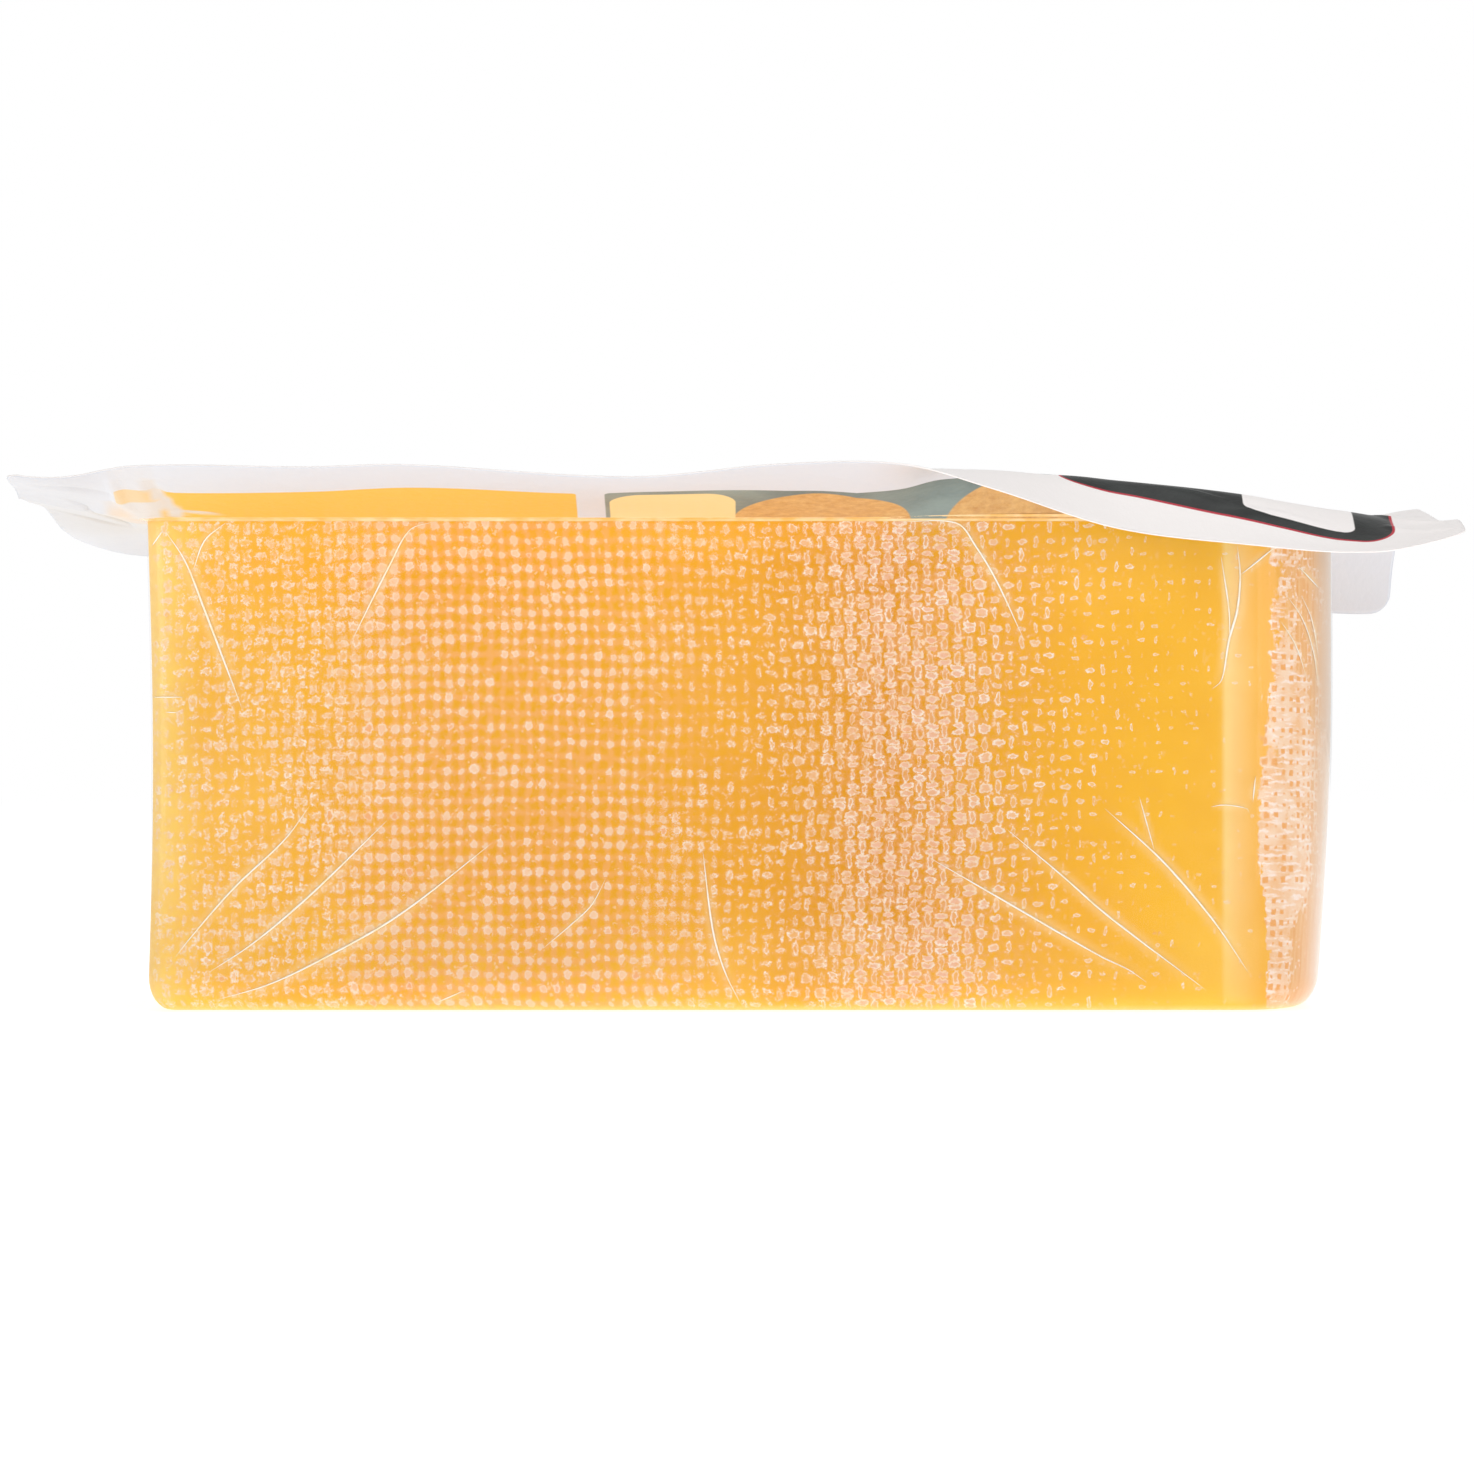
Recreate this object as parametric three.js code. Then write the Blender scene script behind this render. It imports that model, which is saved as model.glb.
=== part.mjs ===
// A block of semi-hard cheese, vacuum-packed: the cloth-marked block in its tight clear film, closed by a wavy
// printed lid film whose flange stands out all round. Millimetres, +Z up. X runs along the block, from its cut end
// at the left to its rounded rim at the right. Y runs through the thickness of the wheel it was cut from, and the
// block stands on a cut face, with the lid on top.
import * as THREE from "three";

// The block in its tight film. Its front and back are the flat sides of the wheel.
const CUT_END_X = -79.7;
const FACE_END_X = 66.8; // where the flat faces start to turn into the rim
const RIM_X = 82.3;
const HALF_THICKNESS = 34; // half of the wheel's height
const BLOCK_HEIGHT = 66;
const RIM_POWER = 2.5; // of the superellipse that the rim follows, seen from above
const CUT_CORNER = 2.6; // radius of the upright edges of the cut end
const BASE_ROUND_OUT = 3.2; // the lower edges are rounder upwards than outwards
const BASE_ROUND_UP = 4.6;
const TOP_ROUND = 0.9;
const RIM_LEAN = 2.1; // how far the rim draws in towards the base
const RIM_LEAN_BELOW = 42;
const END_HOLLOW = 0.7; // the cut end is this hollow half way up
const FACE_SWELL = 0.35; // how uneven the flat faces are
const [CORNER_STEPS, FACE_STEPS, RIM_STEPS, END_STEPS] = [5, 22, 28, 8]; // points along each stretch of its outline
const [ROUND_STEPS, WALL_STEPS] = [5, 8]; // loops over each rounding and up the wall

// The lid film is one sheet. These are flat sizes, before it was bent.
const FLANGE_LONG = 20; // width of the flange along the front and the back
const FLANGE_END = 18.6; // and at the two ends
const LID_THICKNESS = 0.6;
const LID_GAP = 0.3; // between the block and the lid
const ROOT_LEFT = -79.6; // the flange bends from these lines
const ROOT_RIGHT = 79.6;
const ROOT_SIDE = 34.4;
const LID_Z = BLOCK_HEIGHT + LID_GAP + LID_THICKNESS / 2; // the sheet's middle surface over the block

// How far the flange's free edge stands above the flat of the lid, as [place along the edge, height].
const FRONT_EDGE = [
  [-98, 5.3], [-88, 5.2], [-78, 6.3], [-57, 6.1], [-44, 6.4], [-14, 4.8], [6, 6.5],
  [22, 6.5], [34, 3.3], [50, -1.8], [66, -3.9], [84, -5.1], [98, -2.6],
];
const BACK_EDGE = [[-98, -0.2], [-86, -2.5], [-45, -4.2], [-5, -3.2], [38, -7.2], [74, -10.6], [98, -11]];
const LEFT_EDGE = [[-54, 0], [-40, 2.4], [-20, 2.7], [4, 2.7], [15, 1.8], [32, 0.5], [54, 0]];
const RIGHT_EDGE = [[-54, 0], [-34, -0.5], [-17, 0], [4, 1.8], [20, 2.9], [34, 1.6], [54, 0]];

// Sections of the front flange. Reach is how far it stands out for its width. It leaves the block and comes to its
// free edge at these angles, in degrees up from level, and holds each for about that share of its width.
const RAISED = { reach: 0.93, leaves: 16, leavesFor: 0.33, arrives: 26, arrivesFor: 0.33 };
const ARCHED = { reach: 0.78, leaves: 70, leavesFor: 0.47, arrives: -35, arrivesFor: 0.6 };
const DROOPING = { reach: 0.93, leaves: 3, leavesFor: 0.33, arrives: -16, arrivesFor: 0.33 };
// Shares of the arched and the drooping section along the front. The rest is the raised one.
const ARCH_SHARE = [
  [16, 0], [22, 0.25], [26.5, 0.55], [30, 0.68], [34, 0.785], [39.6, 0.87], [47, 0.96], [57, 0.88], [67, 0.7],
  [73, 0.52], [81, 0.26], [90, 0],
];
const DROOP_SHARE = [[50, 0], [67, 0.3], [78, 0.65], [90, 1]];

// The two ends of the flange leave the block nearly level.
const LEFT_END = { reach: 0.91, leaves: 4, leavesFor: 0.33, arrives: 12, arrivesFor: 0.33 };
const RIGHT_END = { reach: 0.9, leaves: 2, leavesFor: 0.33, arrives: 6, arrivesFor: 0.33 };
const RIGHT_END_BACK = { ...RIGHT_END, reach: 0.83 };

const smooth = THREE.MathUtils.smoothstep;
const mix = THREE.MathUtils.lerp;
const clamp = THREE.MathUtils.clamp;
const radians = THREE.MathUtils.degToRad;

// A smooth curve through stations, level beyond the first and the last.
function through(stations) {
  const last = stations.length - 1;
  const slope = (i) => {
    const [a, b] = [stations[Math.max(i - 1, 0)], stations[Math.min(i + 1, last)]];
    return (b[1] - a[1]) / (b[0] - a[0]);
  };
  return (at) => {
    if (at <= stations[0][0]) return stations[0][1];
    if (at >= stations[last][0]) return stations[last][1];
    const i = stations.findIndex((station) => station[0] > at) - 1;
    const [[x0, y0], [x1, y1]] = [stations[i], stations[i + 1]];
    const span = x1 - x0;
    const f = (at - x0) / span;
    const rise = f * f * (3 - 2 * f);
    return mix(y0, y1, rise) + span * f * (1 - f) * ((1 - f) * slope(i) - f * slope(i + 1));
  };
}

const frontEdge = through(FRONT_EDGE);
const backEdge = through(BACK_EDGE);
const leftEdge = through(LEFT_EDGE);
const rightEdge = through(RIGHT_EDGE);
const archShare = through(ARCH_SHARE);
const droopShare = through(DROOP_SHARE);

// ---- the block ----

// How uneven a flat face is at a point, fading out towards its edges.
function swell(x, z) {
  const inX = smooth(x, CUT_END_X, CUT_END_X + 18) * (1 - smooth(x, FACE_END_X - 18, FACE_END_X));
  const inZ = smooth(z, 0, 12) * (1 - smooth(z, BLOCK_HEIGHT - 12, BLOCK_HEIGHT));
  return FACE_SWELL * inX * inZ * (Math.sin(x / 15 + 0.6) + Math.cos(z / 11 - x / 34));
}

// Points at even steps along a stretch, without its end, which the next stretch starts with.
const stretch = (steps, pointAt) => Array.from({ length: steps }, (_, i) => pointAt(i / steps));

// A quarter turn of an upright corner round (x, y), starting at an angle.
function cornerStretch(x, y, radius, start) {
  return stretch(CORNER_STEPS, (f) => {
    const a = start + (Math.PI / 2) * f;
    return [x + radius * Math.cos(a), y + radius * Math.sin(a)];
  });
}

// The rim bulges beyond the flat faces along half a superellipse.
function rimPoint(f, bulge, depth) {
  const a = Math.PI * (f - 0.5);
  const power = 2 / RIM_POWER;
  const across = Math.sign(Math.sin(a)) * Math.pow(Math.abs(Math.sin(a)), power);
  return [FACE_END_X + bulge * Math.pow(Math.abs(Math.cos(a)), power), depth * across];
}

// The block's outline at a height, drawn in by inset, counter-clockwise from the front of the cut end.
function outlineAt(z, inset) {
  const depth = HALF_THICKNESS - inset;
  const corner = CUT_CORNER - inset / 2;
  const left = CUT_END_X + inset + END_HOLLOW * Math.sin((Math.PI * z) / BLOCK_HEIGHT);
  const inner = left + corner;
  const lean = RIM_LEAN * Math.pow(1 - Math.min(z / RIM_LEAN_BELOW, 1), 1.6);
  const bulge = RIM_X - lean - inset - FACE_END_X;
  const facePoint = (side, x) => [x, side * (depth + swell(x, z))];
  return [
    ...cornerStretch(inner, corner - depth, corner, Math.PI),
    ...stretch(FACE_STEPS, (f) => facePoint(-1, mix(inner, FACE_END_X, f))),
    ...stretch(RIM_STEPS, (f) => rimPoint(f, bulge, depth)),
    ...stretch(FACE_STEPS, (f) => facePoint(1, mix(FACE_END_X, inner, f))),
    ...cornerStretch(inner, depth - corner, corner, Math.PI / 2),
    ...stretch(END_STEPS, (f) => [left, mix(depth - corner, corner - depth, f)]),
  ];
}

// Heights of the loops that make the block's side, each with how far its outline is drawn in.
function blockLevels() {
  const levels = [];
  for (let i = 0; i <= ROUND_STEPS; i++) {
    const a = (Math.PI / 2) * (i / ROUND_STEPS);
    levels.push([BASE_ROUND_UP * (1 - Math.cos(a)), BASE_ROUND_OUT * (1 - Math.sin(a))]);
  }
  for (let i = 1; i < WALL_STEPS; i++) {
    levels.push([mix(BASE_ROUND_UP, BLOCK_HEIGHT - TOP_ROUND, i / WALL_STEPS), 0]);
  }
  for (let i = 0; i <= ROUND_STEPS; i++) {
    const a = (Math.PI / 2) * (i / ROUND_STEPS);
    levels.push([BLOCK_HEIGHT - TOP_ROUND * (1 - Math.sin(a)), TOP_ROUND * (1 - Math.cos(a))]);
  }
  return levels;
}

// A closed solid through a stack of loops with the same number of points, capped flat below and above.
function loft(levels) {
  const loops = levels.map(([z, inset]) => outlineAt(z, inset).map(([x, y]) => [x, y, z]));
  const count = loops[0].length;
  const positions = loops.flat(2);
  const middle = (FACE_END_X + CUT_END_X) / 2;
  positions.push(middle, 0, levels[0][0], middle, 0, levels.at(-1)[0]);
  const [below, above] = [loops.length * count, loops.length * count + 1]; // the middles of the two caps
  const index = [];
  for (let j = 0; j < count; j++) {
    const next = (j + 1) % count;
    for (let i = 0; i < loops.length - 1; i++) {
      const [a, b] = [i * count + j, i * count + next];
      index.push(a, b, b + count, a, b + count, a + count);
    }
    const top = (loops.length - 1) * count;
    index.push(below, next, j, above, top + j, top + next);
  }
  return solid(positions, index);
}

// ---- the lid film ----

// The flange's section: how far out and how far up a point lies, at share q of the way to the free edge.
function flangeSection(q, width, height, form) {
  const [leaves, arrives] = [radians(form.leaves), radians(form.arrives)];
  const [near, far] = [width * form.leavesFor, width * form.arrivesFor];
  const reach = width * form.reach;
  const bend = new THREE.CubicBezierCurve(
    new THREE.Vector2(0, 0),
    new THREE.Vector2(near * Math.cos(leaves), near * Math.sin(leaves)),
    new THREE.Vector2(reach - far * Math.cos(arrives), height - far * Math.sin(arrives)),
    new THREE.Vector2(reach, height),
  );
  return bend.getPoint(q);
}

// A section made of shares of others, as [section, share] pairs.
function blend(pairs) {
  const form = {};
  for (const key of Object.keys(RAISED)) {
    form[key] = pairs.reduce((sum, [section, share]) => sum + share * section[key], 0);
  }
  return form;
}

function frontForm(s) {
  const [arch, droop] = [archShare(s), droopShare(s)];
  return blend([[RAISED, 1 - arch - droop], [ARCHED, arch], [DROOPING, droop]]);
}

// A hanging flange reaches out less the further it drops.
function backForm(s) {
  const drop = Math.min(Math.abs(backEdge(s)) / FLANGE_LONG, 0.8);
  const slope = -THREE.MathUtils.radToDeg(Math.asin(drop));
  const reach = 0.97 * Math.sqrt(1 - drop * drop);
  return { reach, leaves: 0.35 * slope, leavesFor: 0.33, arrives: 1.7 * slope, arrivesFor: 0.33 };
}

function rightForm(t) {
  const back = smooth(t, 0, ROOT_SIDE + FLANGE_LONG);
  return blend([[RIGHT_END, 1 - back], [RIGHT_END_BACK, back]]);
}

// Where the point (s, t) of the flat sheet lies once the sheet is bent.
function sheetPoint(s, t) {
  const point = new THREE.Vector3(clamp(s, ROOT_LEFT, ROOT_RIGHT), clamp(t, -ROOT_SIDE, ROOT_SIDE), LID_Z);
  const fold = (past, width, height, form, x, y) => {
    if (past <= 0) return;
    const bent = flangeSection(past / width, width, height, form);
    point.add(new THREE.Vector3(x * bent.x, y * bent.x, bent.y));
  };
  fold(-ROOT_SIDE - t, FLANGE_LONG, frontEdge(s), frontForm(s), 0, -1);
  fold(t - ROOT_SIDE, FLANGE_LONG, backEdge(s), backForm(s), 0, 1);
  fold(ROOT_LEFT - s, FLANGE_END, leftEdge(t), LEFT_END, -1, 0);
  fold(s - ROOT_RIGHT, FLANGE_END, rightEdge(t), rightForm(t), 1, 0);
  return point;
}

// Which way the sheet faces at (s, t).
function sheetNormal(s, t) {
  const step = 0.05;
  const along = sheetPoint(s + step, t).sub(sheetPoint(s - step, t));
  const across = sheetPoint(s, t + step).sub(sheetPoint(s, t - step));
  return along.cross(across).normalize();
}

// Evenly spaced stops from one root line to the other, and over the flange at each side.
function stops(low, high, steps, flange, flangeSteps) {
  const places = [];
  for (let i = 0; i < flangeSteps; i++) places.push(low - flange * (1 - i / flangeSteps));
  for (let i = 0; i < steps; i++) places.push(mix(low, high, i / steps));
  for (let i = 0; i <= flangeSteps; i++) places.push(high + flange * (i / flangeSteps));
  return places;
}

function lidGeometry() {
  const along = stops(ROOT_LEFT, ROOT_RIGHT, 38, FLANGE_END, 7);
  const across = stops(-ROOT_SIDE, ROOT_SIDE, 6, FLANGE_LONG, 11);
  const positions = [];
  for (const side of [-1, 1]) {
    for (const t of across) {
      for (const s of along) {
        const lift = sheetNormal(s, t).multiplyScalar((side * LID_THICKNESS) / 2);
        positions.push(...sheetPoint(s, t).add(lift).toArray());
      }
    }
  }
  const [columns, rows] = [along.length, across.length];
  const above = columns * rows; // where the upper surface's points start
  const index = [];
  for (let r = 0; r < rows - 1; r++) {
    for (let c = 0; c < columns - 1; c++) {
      const a = r * columns + c;
      const [b, d, e] = [a + 1, a + columns, a + columns + 1];
      index.push(a, e, b, a, d, e);
      index.push(above + a, above + b, above + e, above + a, above + e, above + d);
    }
  }
  const wall = (a, b) => index.push(a, b, above + b, a, above + b, above + a);
  for (let c = 0; c < columns - 1; c++) {
    const last = (rows - 1) * columns;
    wall(c, c + 1);
    wall(last + c + 1, last + c);
  }
  for (let r = 0; r < rows - 1; r++) {
    wall((r + 1) * columns, r * columns);
    wall(r * columns + columns - 1, (r + 1) * columns + columns - 1);
  }
  return solid(positions, index);
}

function solid(positions, index) {
  const geometry = new THREE.BufferGeometry();
  geometry.setAttribute("position", new THREE.Float32BufferAttribute(positions, 3));
  geometry.setIndex(index);
  geometry.computeVertexNormals();
  return geometry;
}

function named(name, geometry, look) {
  const mesh = new THREE.Mesh(geometry, new THREE.MeshStandardMaterial(look));
  mesh.name = name;
  return mesh;
}

const cheeseBlock = named("cheese_block", loft(blockLevels()), { color: 0xf6b23f, roughness: 0.35, metalness: 0 });
const lidFilm = named("lid_film", lidGeometry(), { color: 0xf3efee, roughness: 0.3, metalness: 0 });

// The group is placed so that the origin is at the middle of the whole pack, on the surface it stands on.
const pack = new THREE.Group();
pack.add(cheeseBlock, lidFilm);
const bounds = new THREE.Box3().setFromObject(pack, true);
const centre = bounds.getCenter(new THREE.Vector3());
pack.position.set(-centre.x, -centre.y, -bounds.min.z);

export default pack;
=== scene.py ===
import bpy
import numpy as np
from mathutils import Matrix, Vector


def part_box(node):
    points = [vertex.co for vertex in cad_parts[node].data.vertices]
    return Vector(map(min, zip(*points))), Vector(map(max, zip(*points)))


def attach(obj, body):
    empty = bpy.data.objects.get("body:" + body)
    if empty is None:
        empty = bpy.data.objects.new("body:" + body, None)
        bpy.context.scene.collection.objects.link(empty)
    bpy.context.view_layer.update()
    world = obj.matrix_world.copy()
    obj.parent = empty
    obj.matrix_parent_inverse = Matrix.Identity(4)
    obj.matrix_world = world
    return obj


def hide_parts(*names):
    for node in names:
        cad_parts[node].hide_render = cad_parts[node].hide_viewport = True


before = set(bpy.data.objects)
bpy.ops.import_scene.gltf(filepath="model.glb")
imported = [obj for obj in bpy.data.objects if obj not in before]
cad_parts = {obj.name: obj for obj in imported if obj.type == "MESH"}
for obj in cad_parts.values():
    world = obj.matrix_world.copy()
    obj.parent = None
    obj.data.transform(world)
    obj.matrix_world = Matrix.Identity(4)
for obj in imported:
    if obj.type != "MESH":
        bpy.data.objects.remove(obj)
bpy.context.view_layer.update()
block_low, block_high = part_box("cheese_block")

MM = 0.001

# ---- the block, as the CAD part has it ----
CUT_END_X = -79.7
FACE_END_X = 66.8  # where the flat faces start to turn into the rim
RIM_X = 82.3
HALF_THICKNESS = 34.0  # half of the wheel's height
BLOCK_HEIGHT = 66.0
RIM_POWER = 2.5  # of the superellipse that the rim follows, seen from above
CUT_CORNER = 2.6  # radius of the upright edges of the cut end
BASE_ROUND_OUT, BASE_ROUND_UP = 3.2, 4.6  # the lower edges are rounder upwards than outwards
TOP_ROUND = 0.3  # under the seal. The CAD part rounds it more
RIM_LEAN, RIM_LEAN_BELOW = 2.1, 42.0  # how far the rim draws in towards the base
END_HOLLOW = 0.7  # the cut end is this hollow half way up
FACE_SWELL = 0.35  # how uneven the flat faces are
SWELL_MARGIN_X, SWELL_MARGIN_Z = 18, 12  # that fades out over this much towards their edges
# The origin is the middle of the whole pack, and the block's own middle lies beside it.
BLOCK_MIDDLE = np.array([block_high.x / MM - RIM_X, (block_low.y + block_high.y) / 2 / MM, 0.0])

# ---- the lid film, flat sizes before it was bent ----
FLANGE_LONG, FLANGE_END = 20.0, 18.6  # width of the flange along the sides and at the ends
ROOT_X, ROOT_Y = 79.6, 34.4  # the flange bends from these lines
LID_Z = BLOCK_HEIGHT + 0.6
LID_THICKNESS = 0.2

# How far the flange's free edge stands above the flat of the lid, as (place along the edge, height).
FRONT_EDGE = [
    (-98, 5.3), (-88, 5.2), (-78, 6.3), (-57, 6.1), (-44, 6.4), (-14, 4.8), (6, 6.5),
    (22, 6.5), (34, 3.3), (50, -1.8), (66, -3.9), (84, -5.1), (98, -2.6),
]
BACK_EDGE = [(-98, -0.2), (-86, -2.5), (-45, -4.2), (-5, -3.2), (38, -7.2), (74, -10.6), (98, -11)]
LEFT_EDGE = [(-54, 0), (-40, 2.4), (-20, 2.7), (4, 2.7), (15, 1.8), (32, 0.5), (54, 0)]
RIGHT_EDGE = [(-54, 0), (-34, -0.5), (-17, 0), (4, 1.8), (20, 2.9), (34, 1.6), (54, 0)]
# Sections of the flange: how far it reaches for its width, the angle at which it leaves the block and for
# what share of the width, and the angle at which it comes to the free edge and for what share.
RAISED = (0.93, 16, 0.33, 26, 0.33)
ARCHED = (0.78, 70, 0.47, -35, 0.6)
DROOPING = (0.93, 3, 0.33, -16, 0.33)
LEFT_END = (0.91, 4, 0.33, 12, 0.33)
RIGHT_END = (0.9, 2, 0.33, 6, 0.33)
RIGHT_END_BACK = (0.83, 2, 0.33, 6, 0.33)
ARCH_SHARE = [
    (16, 0), (22, 0.25), (26.5, 0.55), (30, 0.68), (34, 0.785), (39.6, 0.87), (47, 0.96), (57, 0.88),
    (67, 0.7), (73, 0.52), (81, 0.26), (90, 0),
]
DROOP_SHARE = [(50, 0), (67, 0.3), (78, 0.65), (90, 1)]

# ---- the cheese under its film ----
FILM_GAP = 0.2  # from the film's outer face to the cheese
WELD_FOOT_BELOW, WELD_TOP_BELOW = 0.22, 0.12  # how far below the lid's sheet the film's weld to it lies
WELD_BEGINS = BLOCK_HEIGHT + 0.14  # the film above this height is the weld
CAP_MARGIN = 0.5  # of the flat faces that close a piece. Less than the radius of its corners
NEAR_SIDE_ENDS = 90  # a place along the outline, part of the way round the rim
THREAD_X, THREAD_Z = 1.8, 1.95  # from one thread of the cheese cloth to the next
MARK_DEPTH = 0.16  # how deep a thread has pressed into the rind


# ======== shapes ========


def ramp(at, stations):
    """Straight lines through stations, level beyond the first and the last."""
    places, values = np.array(stations, float).T
    return np.interp(at, places, values)


def through(stations):
    """A smooth curve through stations, level beyond the first and the last."""
    places, values = np.array(stations, float).T
    slopes = np.empty_like(values)
    slopes[1:-1] = (values[2:] - values[:-2]) / (places[2:] - places[:-2])
    slopes[0] = (values[1] - values[0]) / (places[1] - places[0])
    slopes[-1] = (values[-1] - values[-2]) / (places[-1] - places[-2])

    def curve(at):
        at = np.clip(at, places[0], places[-1])
        i = np.clip(np.searchsorted(places, at, side="right") - 1, 0, len(places) - 2)
        span = places[i + 1] - places[i]
        f = (at - places[i]) / span
        rise = f * f * (3 - 2 * f)
        bend = (1 - f) * slopes[i] - f * slopes[i + 1]
        return values[i] + (values[i + 1] - values[i]) * rise + span * f * (1 - f) * bend

    return curve


def run_length(points):
    """How far along a line of points each one is."""
    return np.concatenate([[0], np.cumsum(np.hypot(*np.diff(points, axis=0).T))])


front_edge, back_edge = through(FRONT_EDGE), through(BACK_EDGE)
left_edge, right_edge = through(LEFT_EDGE), through(RIGHT_EDGE)
arch_share, droop_share = through(ARCH_SHARE), through(DROOP_SHARE)


def smooth(value, low, high):
    f = np.clip((value - low) / (high - low), 0, 1)
    return f * f * (3 - 2 * f)


def window(value, rises, full, falls, gone):
    """A share that rises to 1 between the first two values and falls off between the last two."""
    return smooth(value, rises, full) * (1 - smooth(value, falls, gone))


def swell(x, z):
    """How uneven a flat face is at a point, fading out towards its edges."""
    in_x = window(x, CUT_END_X, CUT_END_X + SWELL_MARGIN_X, FACE_END_X - SWELL_MARGIN_X, FACE_END_X)
    in_z = window(z, 0, SWELL_MARGIN_Z, BLOCK_HEIGHT - SWELL_MARGIN_Z, BLOCK_HEIGHT)
    return FACE_SWELL * in_x * in_z * (np.sin(x / 15 + 0.6) + np.cos(z / 11 - x / 34))


def rim_bulge(z, inset=0.0):
    """How far the rim stands out beyond the flat faces at a height."""
    lean = RIM_LEAN * (1 - np.minimum(z / RIM_LEAN_BELOW, 1)) ** 1.6
    return RIM_X - lean - inset - FACE_END_X


def outline(z, inset, steps):
    """The block's outline at a height, drawn in by inset, from the middle of the cut end by the near face.

    steps are the points along half of the cut end, a corner, a flat face and the rim."""
    end_steps, corner_steps, face_steps, rim_steps = steps
    depth = HALF_THICKNESS - inset
    corner = CUT_CORNER - inset / 2
    left = CUT_END_X + inset + END_HOLLOW * np.sin(np.pi * z / BLOCK_HEIGHT)
    inner = left + corner
    end = np.linspace(0, depth - corner, end_steps, endpoint=False)
    turn = np.linspace(0, np.pi / 2, corner_steps, endpoint=False)
    along = np.linspace(inner, FACE_END_X, face_steps, endpoint=False)
    about = np.linspace(0, np.pi / 2, rim_steps // 2 + 1)
    power = 2 / RIM_POWER
    rim_x = FACE_END_X + rim_bulge(z, inset) * np.sin(about) ** power
    rim_y = depth * np.cos(about) ** power
    x = [np.full(end_steps, left), inner - corner * np.cos(turn), along, rim_x]
    y = [end, depth - corner + corner * np.sin(turn), depth + swell(along, z), rim_y]
    x, y = np.concatenate(x), np.concatenate(y)
    # The far side is the near side's mirror image. The rim's middle point is on both, and the seam is closed.
    return np.concatenate([x, x[-2::-1]]), np.concatenate([-y, y[-2::-1]])


def levels(base_steps, wall_steps, top_steps):
    """Heights of the loops up the block's side, each with how far its outline is drawn in.

    Right under the lid film and cheese are less rounded than the CAD part, which has no seal to fill."""
    base = np.linspace(0, np.pi / 2, base_steps, endpoint=False)
    wall = np.linspace(BASE_ROUND_UP, BLOCK_HEIGHT - TOP_ROUND, wall_steps, endpoint=False)
    top = np.linspace(0, np.pi / 2, top_steps + 1)
    heights = [
        BASE_ROUND_UP * (1 - np.cos(base)),
        wall,
        BLOCK_HEIGHT - TOP_ROUND * (1 - np.sin(top)),
    ]
    insets = [BASE_ROUND_OUT * (1 - np.sin(base)), np.zeros(wall_steps), TOP_ROUND * (1 - np.cos(top))]
    return list(zip(np.concatenate(heights), np.concatenate(insets)))


def front_y(x, z):
    """Where the near side of the film lies at a place along the block and a height."""
    past = np.clip((x - FACE_END_X) / rim_bulge(z), 0, 0.999)
    flat = HALF_THICKNESS + swell(x, z)
    turned = CUT_END_X + END_HOLLOW * np.sin(np.pi * z / BLOCK_HEIGHT) + CUT_CORNER - x
    corner = CUT_CORNER - np.sqrt(np.maximum(CUT_CORNER**2 - np.maximum(turned, 0) ** 2, 0))
    base = np.maximum(1 - z / BASE_ROUND_UP, 0)
    base_draws_in = BASE_ROUND_OUT * (1 - np.sqrt(np.maximum(1 - base**2, 0)))
    return -(flat * (1 - past**RIM_POWER) ** (1 / RIM_POWER) - corner - base_draws_in)


def flange_bend(q, width, height, form):
    """How far out and how far up a point of the flange lies, at share q of the way to its free edge."""
    reach, leaves, near, arrives, far = form
    leaves, arrives = np.radians(leaves), np.radians(arrives)
    near, far, reach = width * near, width * far, width * reach
    first, second, third = 3 * q * (1 - q) ** 2, 3 * q * q * (1 - q), q**3
    out = first * near * np.cos(leaves) + second * (reach - far * np.cos(arrives)) + third * reach
    up = first * near * np.sin(leaves) + second * (height - far * np.sin(arrives)) + third * height
    return out, up


def blend(pairs):
    """A section made of shares of others."""
    return [sum(share * section[i] for section, share in pairs) for i in range(5)]


def hanging(s):
    """The far flange's section. It reaches out less the further it drops."""
    drop = np.minimum(np.abs(back_edge(s)) / FLANGE_LONG, 0.8)
    slope = -np.degrees(np.arcsin(drop))
    return 0.97 * np.sqrt(1 - drop**2), 0.35 * slope, 0.33, 1.7 * slope, 0.33


def rounded_corners(s, t):
    """The flat sheet with its corners rounded off, the far right one most."""
    for side_s, side_t, radius in [(-1, -1, 2.0), (1, -1, 2.0), (-1, 1, 2.5), (1, 1, 3.0)]:
        u = np.clip((side_s * s - ROOT_X - FLANGE_END) / radius + 1, 0, 1)
        v = np.clip((side_t * t - ROOT_Y - FLANGE_LONG) / radius + 1, 0, 1)
        corner = (u > 0) & (v > 0)
        s = s - np.where(corner, side_s * radius * u * (1 - np.sqrt(1 - v * v / 2)), 0)
        t = t - np.where(corner, side_t * radius * v * (1 - np.sqrt(1 - u * u / 2)), 0)
    return s, t


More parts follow.
